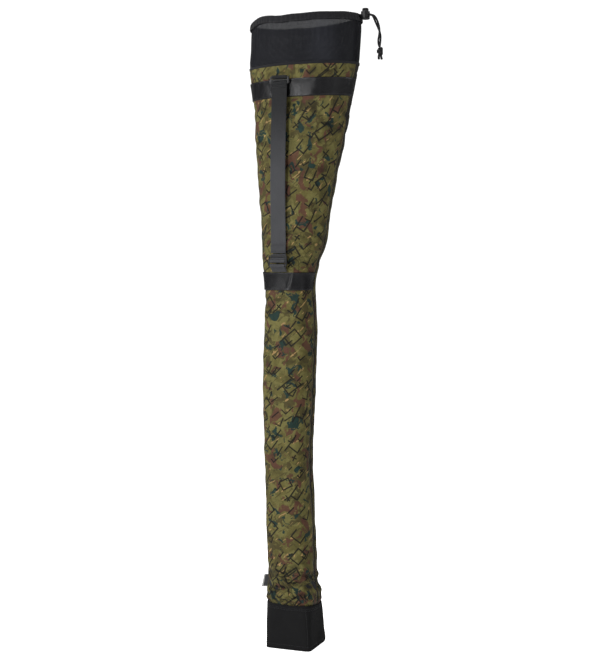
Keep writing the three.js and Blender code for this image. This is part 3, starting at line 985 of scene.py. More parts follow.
def run(points: Sequence[Sequence[float]]) -> np.ndarray:
    """How far along a line each of its points lies."""
    return np.concatenate([[0.0], np.cumsum(spans(np.array(points)))])


def level_away(point: np.ndarray, centre: np.ndarray) -> np.ndarray:
    """The level unit direction from a centre to a point."""
    out = (point - centre) * LEVEL
    return out / np.linalg.norm(out)


def resample(points: np.ndarray, count: int) -> np.ndarray:
    """Points at even spacing along a line of points."""
    along = run(points)
    at = np.linspace(0, along[-1], count)
    return np.stack([np.interp(at, along, points[:, k]) for k in range(points.shape[1])], 1)


# ---------------------------------------------------------------- the bag's surface


@dataclass(frozen=True)
class Station:
    """One cross-section of a surface, in millimetres."""

    z: float
    across: float  # centre of the section across the bag
    wide: float  # half of its width
    deep: float  # half of its depth
    square: float  # 2 is an ellipse, more is squarer
    lift: float = 0.0  # how much the right side sits higher than the middle


class Skin:
    """A surface lofted smoothly through stations."""

    def __init__(self, stations: Sequence[Station]) -> None:
        """Keeps the stations as arrays.

        Args:
            stations: From the lowest up.
        """
        self.heights = np.array([s.z for s in stations], float)
        self.values = np.array([(s.across, s.wide, s.deep, s.square, s.lift) for s in stations], float)
        gaps = np.diff(self.heights)[:, None]
        slopes = np.diff(self.values, axis=0) / gaps
        inner = (slopes[1:] + slopes[:-1]) / 2
        inner[(slopes[1:] * slopes[:-1]) < 0] = 0
        self.tangents = np.concatenate([slopes[:1], inner, slopes[-1:]])

    def section(self, z: float) -> np.ndarray:
        """The five sizes of the section at a height."""
        i = int(np.clip(np.searchsorted(self.heights, z) - 1, 0, len(self.heights) - 2))
        gap = self.heights[i + 1] - self.heights[i]
        t = (z - self.heights[i]) / gap
        low, high = self.values[i], self.values[i + 1]
        if not 0 <= t <= 1:
            return low + (high - low) * t
        leave, reach = self.tangents[i] * gap, self.tangents[i + 1] * gap
        ends = (2 * t**3 - 3 * t**2 + 1) * low + (3 * t**2 - 2 * t**3) * high
        return ends + (t**3 - 2 * t**2 + t) * leave + (t**3 - t**2) * reach

    def points(self, z: float, angles: np.ndarray, offset: float = 0.0) -> np.ndarray:
        """Places on the surface at one height, set out from it by an offset."""
        across, wide, deep, square, lift = self.section(z)
        cosine, sine = np.cos(angles), np.sin(angles)
        x = np.sign(cosine) * np.abs(cosine) ** (2 / square)
        y = np.sign(sine) * np.abs(sine) ** (2 / square)
        return np.stack([across + (wide + offset) * x, (deep + offset) * y, z + lift * x], 1)

    def arc(self, z: float, start: float, end: float, count: int, offset: float = 0.0) -> np.ndarray:
        """Evenly spaced places along a section, between two angles."""
        return resample(self.points(z, np.linspace(start, end, 400), offset), count)

    def upright(self, heights: Iterable[float], angle: float, offset: float) -> np.ndarray:
        """One place at each height, all at the same angle."""
        return np.array([self.points(z, np.array([angle]), offset)[0] for z in heights])


BAG_SKIN = Skin(
    [
        Station(13, 0, 43, 39.6, 4.2),
        Station(70, -2.3, 43.4, 39.8, 3.6),
        Station(90, -2.5, 43.8, 40, 3.6),
        Station(105, -4, 48.5, 43.5, 3.2),
        Station(160, -6, 45.5, 42, 3),
        Station(240, -9, 45, 42, 3),
        Station(315, -12, 44, 41.5, 3),
        Station(390, -13.5, 44.5, 41.5, 3),
        Station(470, -12.5, 47.5, 43, 3),
        Station(590, -10, 48, 43, 3),
        Station(653, -10, 46, 42.5, 3),
        Station(705, -11, 47, 42.5, 2.8),
        Station(737.5, -9, 54, 45, 2.5),
        Station(782.5, -3, 63, 49, 2.4, 0.5),
        Station(844.5, 0.5, 70.8, 53, 2.3, 1),
        Station(905.5, 4, 78.5, 56.5, 2.2, 1.5),
        Station(967.5, 9, 87, 59.5, 2.2, 2),
        Station(1028.5, 13.5, 93.8, 62, 2.1, 2.5),
        Station(1060, 15, 99.8, 64, 2.1, 3),
        Station(1090, 16, 104.6, 67.5, 2.1, 3),
        Station(1110.5, 17, 108, 71, 2, 3),
        Station(1126, 17.5, 109.5, 74.5, 2, 4),
        Station(1148, 19.5, 109, 78, 2, 5),
        Station(1175, 21, 108.5, 80.5, 2, 6),
        Station(1200, 21, 106, 82, 2, 7),
    ]
)

BOOT_SKIN = Skin(
    [
        Station(0, 0, 46.5, 44.5, 12),
        Station(40, -1, 46.5, 43.8, 9, -1.5),
        Station(85, -2.5, 47, 43, 4.5, -4),
    ]
)

SHELL_SKIN = Skin(
    [
        Station(70, -2.3, 43.4, 39.8, 3.6, -4),
        Station(83, -2.5, 43.9, 40.1, 4.2, -4),
        Station(88, -2.7, 47.2, 43.3, 4.2, -4),
        Station(94, -3.2, 49.2, 45.0, 3.9, -4),
        Station(108, -4.5, 49.0, 44.6, 3.5, -1),
        Station(160, -6, 45.5, 42, 3),
        Station(240, -9, 45, 42, 3),
    ]
)


def boot_edge_rise(points: np.ndarray) -> np.ndarray:
    """Lifts the boot's top edge, and the cloth beside it, at the front right corner.

    Args:
        points: Places on the boot or on the cloth close above it.

    Returns:
        The raised places.
    """
    raised = points.copy()
    x, y, z = points[..., 0], points[..., 1], points[..., 2]
    corner = np.exp(-(((x - 36) / 26) ** 2) - ((y + 36) / 26) ** 2)
    level = np.clip((z - 45) / 38, 0, 1) * np.clip((150 - z) / 45, 0, 1)
    raised[..., 2] += 5.0 * corner * level
    return raised


def shell_skin(z: float) -> Skin:
    """The surface that the printed cloth follows: low down it swells over the boot's rim."""
    return SHELL_SKIN if z < 200 else BAG_SKIN


def outward(grid: np.ndarray) -> np.ndarray:
    """Unit normals of a closed grid whose rows go up and columns go round from the left over the front."""
    around = np.roll(grid, -1, 1) - np.roll(grid, 1, 1)
    normal = np.cross(around, np.gradient(grid, axis=0))
    return normal / np.linalg.norm(normal, axis=2, keepdims=True)


def body_ring(skin: Skin, z: float, half_count: int, offset: float = 0.0) -> np.ndarray:
    """One closed row round the bag: left seam, front, right seam, back."""
    front = skin.arc(z, LEFT, FRONT_END, half_count + 1, offset)[:-1]
    back = skin.arc(z, RIGHT, LEFT, half_count + 1, offset)[:-1]
    return np.concatenate([front, back])


def body_flat(skin: Skin, z: float, half_count: int, along: float) -> np.ndarray:
    """The flat cloth's places for one closed row, front and back each measured from their own middle."""
    front = spans(skin.arc(z, LEFT, FRONT_END, half_count + 1)).sum()
    back = spans(skin.arc(z, RIGHT, LEFT, half_count + 1)).sum()
    share = np.linspace(-0.5, 0.5, half_count + 1)
    u = np.concatenate([share[:-1] * front, share * back + BACK_CLOTH])
    return np.stack([u, np.full(len(u), along)], 1)


def rim_lift(points: np.ndarray, share: float = 1.0) -> np.ndarray:
    """Raises the front left of the rim, where the collar stands up stiffly.

    Args:
        points: Places on the collar.
        share: How much of the lift applies, 0 at the seam and 1 at the rim.

    Returns:
        The raised places.
    """
    raised = points.copy()
    front = np.clip(-points[..., 1] / 50, 0, 1)
    raised[..., 2] += 5.5 * share * front * np.exp(-(((points[..., 0] + 42) / 30) ** 2))
    return raised


def fold_noise(x: float, y: float, z: float, seed: float = 0.0) -> float:
    """Smooth noise from -1 to 1, the same at every run."""
    return noise.noise(Vector((x + seed, y - seed * 0.37, z + seed * 0.71)))


# ---------------------------------------------------------------- stitching


@dataclass(frozen=True)
class Stitching:
    """A row of thread stitches along a line."""

    length: float = 2.6
    gap: float = 0.9
    radius: float = 0.32
    proud: float = 0.12

    def along(self, name: str, line: np.ndarray, normals: np.ndarray, body: str) -> bpy.types.Object:
        """Sews a row of stitches.

        Args:
            name: The row's name.
            line: Places in millimetres.
            normals: The outward direction at each place.
            body: The body that the row rides on.

        Returns:
            The row, as one mesh.
        """
        count = max(1, int(spans(line).sum() / (self.length + self.gap)))
        both = resample(np.concatenate([line, normals], 1), 2 * count + 1)
        places, outs = both[:, :3], both[:, 3:]
        rows: list[np.ndarray] = []
        faces: list[Sequence[int]] = []
        for i in range(count):
            direction = places[2 * i + 2] - places[2 * i]
            reach = np.linalg.norm(direction)
            if reach < 1e-6:
                continue
            direction /= reach
            out = outs[2 * i + 1] / np.linalg.norm(outs[2 * i + 1])
            base = len(rows) * 6
            rows += self._capsule(places[2 * i + 1] + out * self.proud, direction, out)
            faces += [tuple(base + j for j in face) for face in self._faces()]
        return dress(solid_mesh(name, np.concatenate(rows), faces), Finish.THREAD, body)

    def _capsule(self, middle: np.ndarray, direction: np.ndarray, out: np.ndarray) -> list[np.ndarray]:
        """The rings of one stitch: six points each, thin at the ends."""
        side = np.cross(direction, out)
        rings = []
        for share, size in ((-0.5, 0.35), (-0.32, 1.0), (0.32, 1.0), (0.5, 0.35)):
            centre = middle + direction * (self.length * share) - out * (0.2 if size < 1 else 0.0)
            ring = [
                centre + (side * math.cos(a) + out * math.sin(a)) * self.radius * size
                for a in (k * math.pi / 3 for k in range(6))
            ]
            rings.append(np.array(ring))
        return rings

    @staticmethod
    def _faces() -> list[tuple[int, ...]]:
        """The faces of one stitch, with closed ends."""
        return [*quad_grid(4, 6, False, True), tuple(range(5, -1, -1)), tuple(range(18, 24))]


# ---------------------------------------------------------------- studio


@dataclass(frozen=True)
class Softbox:
    """A rectangular light, in metres and watts."""

    name: str
    at: tuple[float, float, float]
    aim: tuple[float, float, float]
    wide: float
    tall: float
    power: float

    def hang(self) -> None:
        """Adds the light to the scene."""
        data = bpy.data.lights.new(self.name, "AREA")
        data.shape = "RECTANGLE"
        data.size = self.wide
        data.size_y = self.tall
        data.energy = self.power
        lamp = object_of(self.name, data)
        lamp.location = self.at
        lamp.rotation_euler = (Vector(self.aim) - Vector(self.at)).to_track_quat("-Z", "Y").to_euler()


@dataclass
class Studio:
    """Camera, soft light and floor, in metres and degrees."""

    azimuth: float = 21.5
    distance: float = 2.7
    camera_height: float = 0.79
    aim_height: float = 0.6615
    aim_right: float = 0.008
    view_angle: float = 26.4
    rise: float = -0.04
    surround: float = 1.15
    fill: float = 0.16
    softboxes: tuple[Softbox, ...] = (
        Softbox("key", (-0.50, -2.55, 1.5), (0.0, 0.0, 0.72), 0.42, 1.5, 40),
        Softbox("left", (-1.9, -1.9, 1.7), (0.0, 0.0, 0.66), 0.5, 1.0, 34),
        Softbox("collar", (1.1, 0.2, 1.3), (0.05, 0.0, 1.16), 0.25, 0.3, 3),
        Softbox("side", (2.2, -1.4, 1.2), (0.0, 0.0, 0.6), 0.9, 1.6, 6),
        Softbox("top", (-0.3, 0.9, 2.9), (0.0, 0.0, 0.3), 1.6, 1.6, 30),
    )

    def place_camera(self) -> None:
        """Puts the camera a little right of the front, at hip height."""
        turn = math.radians(self.azimuth)
        right = Vector((math.cos(turn), math.sin(turn), 0))
        back = Vector((math.sin(turn), -math.cos(turn), 0))
        data = bpy.data.cameras.new("camera")
        data.lens = data.sensor_width / 2 / math.tan(math.radians(self.view_angle / 2))
        data.shift_y = self.rise
        camera = object_of("camera", data)
        aim = right * self.aim_right + Vector((0, 0, self.aim_height))
        camera.location = right * self.aim_right + back * self.distance + Vector((0, 0, self.camera_height))
        camera.rotation_euler = (aim - camera.location).to_track_quat("-Z", "Y").to_euler()
        bpy.context.scene.camera = camera

    def light(self) -> None:
        """A white surround, a tall key near the camera, a left light and three weaker ones."""
        scene = bpy.context.scene
        scene.view_settings.view_transform = "Standard"
        world = scene.world or bpy.data.worlds.new("studio")
        scene.world = world
        world.use_nodes = True
        tree = world.node_tree
        background = tree.nodes.get("Background") or tree.nodes.new("ShaderNodeBackground")
        background.inputs["Color"].default_value = (1, 1, 1, 1)
        seen = tree.nodes.new("ShaderNodeLightPath")
        strength = tree.nodes.new("ShaderNodeMapRange")
        strength.inputs["To Min"].default_value = self.fill
        strength.inputs["To Max"].default_value = self.surround
        tree.links.new(seen.outputs["Is Camera Ray"], strength.inputs["Value"])
        tree.links.new(strength.outputs[0], background.inputs["Strength"])
        for box in self.softboxes:
            box.hang()

    def lay_floor(self) -> None:
        """A wide pale floor just under the boot."""
        corners = np.array([(-1, -1, 0), (1, -1, 0), (1, 1, 0), (-1, 1, 0)], float) * 9000
        corners[:, 2] = -0.2
        floor = solid_mesh("studio_floor", corners, [(0, 1, 2, 3)])
        floor.data.materials.append(StudioFloor().material())


# ---------------------------------------------------------------- drawcord and lock


LOCK_X, LOCK_Z = 139.8, 1203.4  # the cord lock's centre


@dataclass
class Drawcord:
    """The cord in the hem, its two free ends and the knot that joins them."""

    radius: float = 1.9
    spread: float = 2.0
    lock_spread: float = 2.2
    twist: float = 1.35
    knot_swell: float = 1.14
    knot_from: float = -60.0  # where a wrap begins, degrees
    knot_turn: float = 520.0  # how far it goes round, degrees
    knot_wide: float = 3.1
    knot_tall: float = 9.6
    straight_points: int = 4
    ring_offset: float = -0.8
    ring_z: float = 1196.5
    ring_gap: float = 0.14  # half of the angle that the cord leaves open at the lock
    ring_points: int = 47
    knot_centre: tuple[float, float, float] = (168.6, 0.0, 1134.6)
    route: tuple[tuple[float, float], ...] = (
        (140.1, LOCK_Z),
        (144, LOCK_Z),
        (148, LOCK_Z),
        (151, 1203.2),
        (154, 1202),
        (156.8, 1199.3),
        (159.2, 1195.4),
        (161.6, 1190),
        (164.2, 1183.6),
        (166.5, 1176.6),
        (167.9, 1169.8),
        (168.1, 1163),
        (167.5, 1156.4),
        (167.3, 1150.2),
        (167.6, 1145),
        (168.2, 1141.9),
    )

    def strand(self, side: int) -> np.ndarray:
        """The centreline of one free end; the two wind once round each other.

        Args:
            side: -1 for the front strand, 1 for the back one.

        Returns:
            Places in millimetres.
        """
        middle = np.array([(x, 0.0, z) for x, z in self.route])
        last = len(middle) - 1
        places = []
        for i, point in enumerate(middle):
            wound = max(0, i - self.straight_points + 1) / (last - self.straight_points + 1)
            turn = 2 * math.pi * wound**self.twist
            along = middle[min(i + 1, last)] - middle[max(i - 1, 0)]
            along /= np.linalg.norm(along)
            sideways = np.array([-along[2], 0.0, along[0]])
            spread = side * (self.lock_spread + (self.spread - self.lock_spread) * min(1.0, wound * 4))
            places.append(point + (sideways * math.sin(turn) + np.array([0, math.cos(turn), 0])) * spread)
        return np.array(places)

    def build_ends(self, knot: bpy.types.Object) -> None:
        """Makes the two free ends as round cords."""
        for side, name in ((-1, "cord_end_front"), (1, "cord_end_back")):
            line = self.strand(side)
            free = curve_tube(name + "_cord", line, self.radius)
            dress(free, Finish.CORD, "bag", [name])

    def build_knot(self) -> bpy.types.Object:
        """An overhand knot in the pair of strands, with two cut tips below it."""
        cx, cy, cz = self.knot_centre
        thick = self.radius * self.knot_swell
        strands = []
        for side in (-1, 1):
            t = np.linspace(0, 1, 15)
            turn = np.radians(self.knot_from + self.knot_turn * t) + side * 0.28
            wide = self.knot_wide + np.sin(math.pi * t)
            z = cz + self.knot_tall * (0.5 - t) + side * 1.2
            path = np.stack([cx + wide * np.cos(turn), cy + wide * 0.8 * np.sin(turn), z], 1)
            strands.append(to_mesh(curve_tube("wrap", path, thick)))
            core = [
                (cx + side * 1.3 - 0.6, 0.9 * side, cz + 6.4),
                (cx + side * 0.9, 0.4 * side, cz),
                (cx + side * 1.5, side, cz - 6.5),
                (cx + side * 2.1, side, cz - 10.5),
                (cx + 0.8 + side * 2.6, side * 0.9, cz - 15.0),
            ]
            strands.append(to_mesh(curve_tube("core", np.array(core), thick)))
        knot = join("drawcord_knot", strands)
        smooth(knot)
        return dress(knot, Finish.CORD, "bag", ["cord_knot"])

    def build_ring(self) -> None:
        """The cord inside the hem, from the lock once round the rim and back."""
        out = [(LOCK_X - 0.3, self.lock_spread), (134, self.lock_spread), (130.4, 2.9), (127.6, 5.6)]
        angles = np.linspace(self.ring_gap, 2 * math.pi - self.ring_gap, self.ring_points)
        ring = rim_lift(BAG_SKIN.points(self.ring_z, angles, self.ring_offset))
        enter = [(x, y, LOCK_Z) for x, y in out]
        leave = [(x, -y, LOCK_Z) for x, y in reversed(out)]
        cord = to_mesh(curve_tube("hem_drawcord", np.concatenate([enter, ring, leave]), self.radius))
        dress(cord, Finish.CORD, "bag", ["drawcord_loop"])

    def build(self) -> None:
        """Makes the whole drawcord."""
        self.build_ends(self.build_knot())
        self.build_ring()


@dataclass
class CordLock:
    """The spring cord lock: a barrel with a tunnel, a plunger with an eye and a spring."""

    radius: float = 8.5
    bottom: float = -8.4
    top: float = 6.6
    bore: float = 6.3
    floor: float = 1.3
    tunnel_width: float = 8.8
    tunnel_height: float = 4.6
    plunger_radius: float = 6.0
    plunger_bottom: float = -2.9
    plunger_top: float = 12.6
    press: float = 2.5
    clear: float = 2.05
    eye: float = 1.6
    eye_z: float = 9.8
    spring_radius: float = 4.4
    spring_wire: float = 0.35
    spring_turns: int = 3
    spring_bottom: float = -6.6
    spring_top: float = -3.6

    @property
    def centre(self) -> Vector:
        """The lock's own centre in millimetres."""
        return Vector((LOCK_X, 0, LOCK_Z))

    def _tunnel(self, low: float, high: float) -> bpy.types.Object:
        """A block that cuts the cord tunnel between two heights."""
        at = self.centre + Vector((0, 0, (low + high) / 2))
        return block("tunnel_cutter", (30, self.tunnel_width, high - low), at)

    def build_barrel(self) -> None:
        """The barrel, with a rounded foot, two grip grooves and a lip round its mouth."""
        r, low, high = self.radius, self.bottom, self.top
        profile = [
            (0, low), (r - 2.0, low), (r - 0.7, low + 0.4), (r - 0.1, low + 1.5),
            (r, low + 2.6), (r - 0.45, low + 3.0), (r - 0.45, low + 3.6), (r, low + 4.0),
            (r, high - 3.8), (r - 0.4, high - 3.4), (r - 0.4, high - 2.8), (r, high - 2.4),
            (r - 0.1, high - 0.7), (r - 0.6, high - 0.1), (r - 1.2, high), (self.bore + 0.4, high),
            (self.bore, high - 0.5), (self.bore, low + self.floor), (0, low + self.floor),
        ]
        barrel = revolve("lock_barrel", profile, self.centre)
        reach = self.tunnel_height / 2
        barrel = bevel(carve(barrel, [self._tunnel(-reach, reach)]), 0.25, 50)
        dress(barrel, Finish.PLASTIC, "cord_lock", ["cord_lock_barrel"])

    def build_plunger(self) -> None:
        """The plunger, with its button, cord eye and tunnel."""
        r, low, high = self.plunger_radius, self.plunger_bottom, self.plunger_top
        profile = [
            (0, low), (r - 0.4, low), (r, low + 0.4), (r, high - 2.4), (r - 0.25, high - 2.0),
            (r - 0.25, high - 1.5), (r - 0.35, high - 1.0), (r - 0.8, high - 0.4), (r - 1.6, high),
            (0, high),
        ]
        plunger = revolve("lock_plunger", profile, self.centre)
        outline = [(0, -20), (self.eye, -20), (self.eye, 20), (0, 20)]
        hole = revolve("eye_cutter", outline, Vector((0, 0, 0)), 24)
        hole.rotation_euler = (math.pi / 2, 0, 0)
        hole.location = (self.centre + Vector((0, 0, self.eye_z))) * MM
        cutters = [self._tunnel(-self.clear, self.clear + self.press), hole]
        plunger = bevel(carve(plunger, cutters), 0.2, 50)
        dress(plunger, Finish.PLASTIC, "lock_button", ["cord_lock_plunger"])

    def build_spring(self) -> None:
        """The spring under the plunger, which shortens as the button is pressed."""
        count = 16 * self.spring_turns + 1
        turns = np.linspace(0, self.spring_turns * 2 * math.pi, count)
        heights = np.linspace(self.spring_bottom, self.spring_top, count)
        line = np.stack([self.spring_radius * np.cos(turns), self.spring_radius * np.sin(turns), heights], 1)
        spring = to_mesh(curve_tube("lock_spring", line + np.array(self.centre), self.spring_wire))
        dress(spring, Finish.STEEL, "cord_lock", ["cord_lock_spring"])
        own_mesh(spring)

    def build(self) -> None:
        """Makes the whole lock."""
        self.build_barrel()
        self.build_plunger()
        self.build_spring()


# ---------------------------------------------------------------- boot


@dataclass
class Boot:
    """The stiff square boot with its bottom, board and pad."""

    top: float = 85.0
    bottom: float = 2.7
    wall: float = 2.2
    half_count: int = 60
    rows: int = 42
    plate: float = 2.4
    board: float = 2.5
    pad: float = 7.0
    gap: float = 0.3
    corner: float = 45.0  # how far from a corner the flat of a side begins
    stitch_rows: tuple[tuple[str, float], ...] = (("low", 9.0), ("top", 79.5), ("hem", 76.5))

    def _wall_shape(self, z: float, ring: np.ndarray) -> np.ndarray:
        """Lets the cloth between the corners hollow a little and kick out over the board."""
        share = (z - self.bottom) / (self.top - self.bottom)
        moved = ring.copy()
        for i, (x, y, _) in enumerate(ring):
            out = np.array(Vector((x, y, 0)).normalized())
            near_corner = 1 - min(1.0, abs(abs(x) - abs(y)) / self.corner)
            dent = -1.1 * math.sin(math.pi * share) * (1 - near_corner)
            uneven = 0.5 * fold_noise(x / 22, y / 22, z / 18, 3.1)
            pucker = 0.35 * math.sin((x + y) / 2.1) * math.exp(-((z - self.top + 5) ** 2) / 18)
            flare = 2.0 * math.exp(-(((z - 10) / 15) ** 2)) if x > 0 and y > 0 else 0.0
            moved[i] += out * (dent + uneven + pucker + flare * near_corner)
        return boot_edge_rise(moved)

    def build_wall(self) -> None:
        """The cloth wall, folded in over its top edge."""
        heights = [*np.linspace(self.bottom, self.top - 1.0, self.rows), self.top - 0.4, self.top]
        outer = [self._wall_shape(z, body_ring(BOOT_SKIN, z, self.half_count)) for z in heights]
        outer[-1][:, :2] *= 0.986
        inner_heights = [self.top - 0.6, self.top - 12.0, self.top - 30]
        inner = [body_ring(BOOT_SKIN, z, self.half_count, -self.wall) for z in inner_heights]
        grid = np.stack(outer + inner)
        along = [*heights, *[2 * self.top - z for z in inner_heights]]
        flat = np.stack([body_flat(BOOT_SKIN, min(v, self.top), self.half_count, v) for v in along])
        wall = grid_mesh("boot_cloth", grid, flat, wrap_columns=True)
        dress(subdivide(wall), Finish.BOOT, "bag", ["boot_wall"])

    def build_seams(self) -> None:
        """Topstitching along the bottom and top, and the corner seams."""
        for name, z in self.stitch_rows:
            ring = self._wall_shape(z, body_ring(BOOT_SKIN, z, 90))
            ring = np.concatenate([ring, ring[:1]])
            Stitching(2.4, 0.9, 0.24, 0.05).along(f"boot_stitch_{name}", ring, ring * LEVEL, "bag")
        for index, (sx, sy) in enumerate(((-1, -1), (1, -1), (1, 1), (-1, 1))):
            angle = math.atan2(sy * 0.9, sx * 0.62)
            line = BOOT_SKIN.upright(np.linspace(6, self.top - 2, 40), angle, 0.1)
            outs = np.tile(np.array([sx * 0.3, sy, 0.0]), (len(line), 1))
            Stitching(2.4, 0.9, 0.24, 0.1).along(f"boot_stitch_corner_{index + 1}", line, outs, "bag")

    @staticmethod
    def _slab(name: str, low: float, high: float, inset: float, rounding: float) -> bpy.types.Object:
        """A flat plate inside the boot's outline with rounded edges.

        Args:
            name: The plate's name.
            low: Its underside.
            high: Its upper side.
            inset: How far inside the outline it ends.
            rounding: How much its edges are rounded.

        Returns:
            A closed mesh.
        """
        edge = [(0.0, -inset - rounding), (rounding * 0.3, -inset - rounding * 0.3), (rounding, -inset)]
        levels = [(low + up, offset) for up, offset in edge]
        levels += [(high - down, offset) for down, offset in reversed(edge)]
        rings = [body_ring(BOOT_SKIN, 0.0, 40, offset) * LEVEL + UPRIGHT * z for z, offset in levels]
        under = [rings[0] * np.array([k, k, 1]) for k in (0.02, 0.6)]
        over = [rings[-1] * np.array([k, k, 1]) for k in (0.6, 0.02)]
        grid = np.stack([*under, *rings, *over])
        flat = np.concatenate([grid[:, :, :2], grid[:, :1, :2]], 1)
        slab = grid_mesh(name, grid, flat, wrap_columns=True)
        close_ends(slab)
        return slab

    def build_inserts(self) -> None:
        """The bottom panel, the stiff board and the foam pad."""
        bottom = self._slab("boot_sole", 0.0, self.plate, 0.0, 0.8)
        dress(bottom, Finish.BOOT, "bag", ["boot_bottom"])
        low = self.plate + 2 * self.gap
        inset = self.wall + 2 * self.gap
        board = self._slab("stiffener", low, low + self.board, inset, 0.4)
        dress(board, Finish.BOARD, "bag", ["base_board"])
        low += self.board + self.gap
        pad = subdivide(self._slab("foam_pad", low, low + self.pad, inset, 2.2))
        dress(pad, Finish.FOAM, "bag", ["base_pad"])

    def build(self) -> None:
        """Makes the whole boot."""
        self.build_wall()
        self.build_seams()
        self.build_inserts()


# ---------------------------------------------------------------- printed body, bands and tag


@dataclass(frozen=True)
class Band:
    """A coated band over the front, in millimetres, with the CAD node that it stands for."""

    name: str
    node: str
    low: float
    high: float
    seed: float  # chooses its creases
    crease: float  # where its deepest crease stands across the bag
    end_angle: float = 0.012  # how far short of the side seams it ends
    columns: int = 96

    def line(self, z: float, offset: float) -> np.ndarray:
        """Its run over the front at a height, set out from the bag by an offset."""
        return BAG_SKIN.arc(z, LEFT + self.end_angle, FRONT_END - self.end_angle, self.columns, offset)

    def profile(self) -> list[tuple[float, float]]:
        """Its outer side as (offset, height), turned under at both edges."""
        edge = [(0.35, 0.5), (0.9, 0.05), (1.6, 0.3), (1.9, 1.4)]
        flat = [(1.75, z) for z in np.linspace(self.low + 3, self.high - 3, 9)]
        over = [(offset, self.high - down) for offset, down in reversed(edge)]
        return [*[(offset, self.low + up) for offset, up in edge], *flat, *over]

    def wave(self, point: np.ndarray, z: float) -> float:
        """How far a point of its row at z stands out: soft waves, and a ridge and a groove at its crease."""
        x, _, height = point
        lean = self.crease + (z - (self.low + self.high) / 2) * 0.22
        out = 0.55 * fold_noise(x / 14, 0, height / 30, self.seed)
        out += 0.35 * fold_noise(x / 6, 0, height / 14, self.seed + 2)
        out += 0.9 * math.exp(-(((x - lean - 3.5) / 2.6) ** 2))
        out -= math.exp(-(((x - lean + 2.0) / 2.6) ** 2))
        return out if 2.5 < z - self.low < self.high - self.low - 2.5 else out * 0.4

    def build(self) -> None:
        """Makes the band with its two rows of topstitching."""
        behind = np.array([0, 40, 0])
        profile = self.profile()
        rows, flats = [], []
        for (offset, z), along in zip(profile, run(profile)):
            line = self.line(z, offset)
            half = spans(line).sum() / 2
            centre = line.mean(0) + behind
            for c, point in enumerate(line):
                line[c] = point + level_away(point, centre) * self.wave(point, z)
            rows.append(line)
            flats.append(np.stack([np.linspace(-half, half, self.columns), np.full(self.columns, along)], 1))
        rows += [self.line(z, 0.3) for z in (self.high - 1, self.low + 1)]
        for extra in (1, 30, 31):
            flats.append(flats[0] * np.array([1, 0]) + np.array([0, along + extra]))
        band = grid_mesh(self.name, np.stack(rows), np.stack(flats), wrap_rows=True)
        close_ends(band)
        dress(subdivide(band), Finish.BAND, "bag", [self.node])
        for label, z in (("low", self.low + 2.6), ("top", self.high - 2.6)):
            line = self.line(z, 1.95)
            outs = (line - line.mean(0) - behind) * LEVEL
            Stitching(2.6, 1.0, 0.26, 0.05).along(f"{self.name}_stitch_{label}", line, outs, "bag")


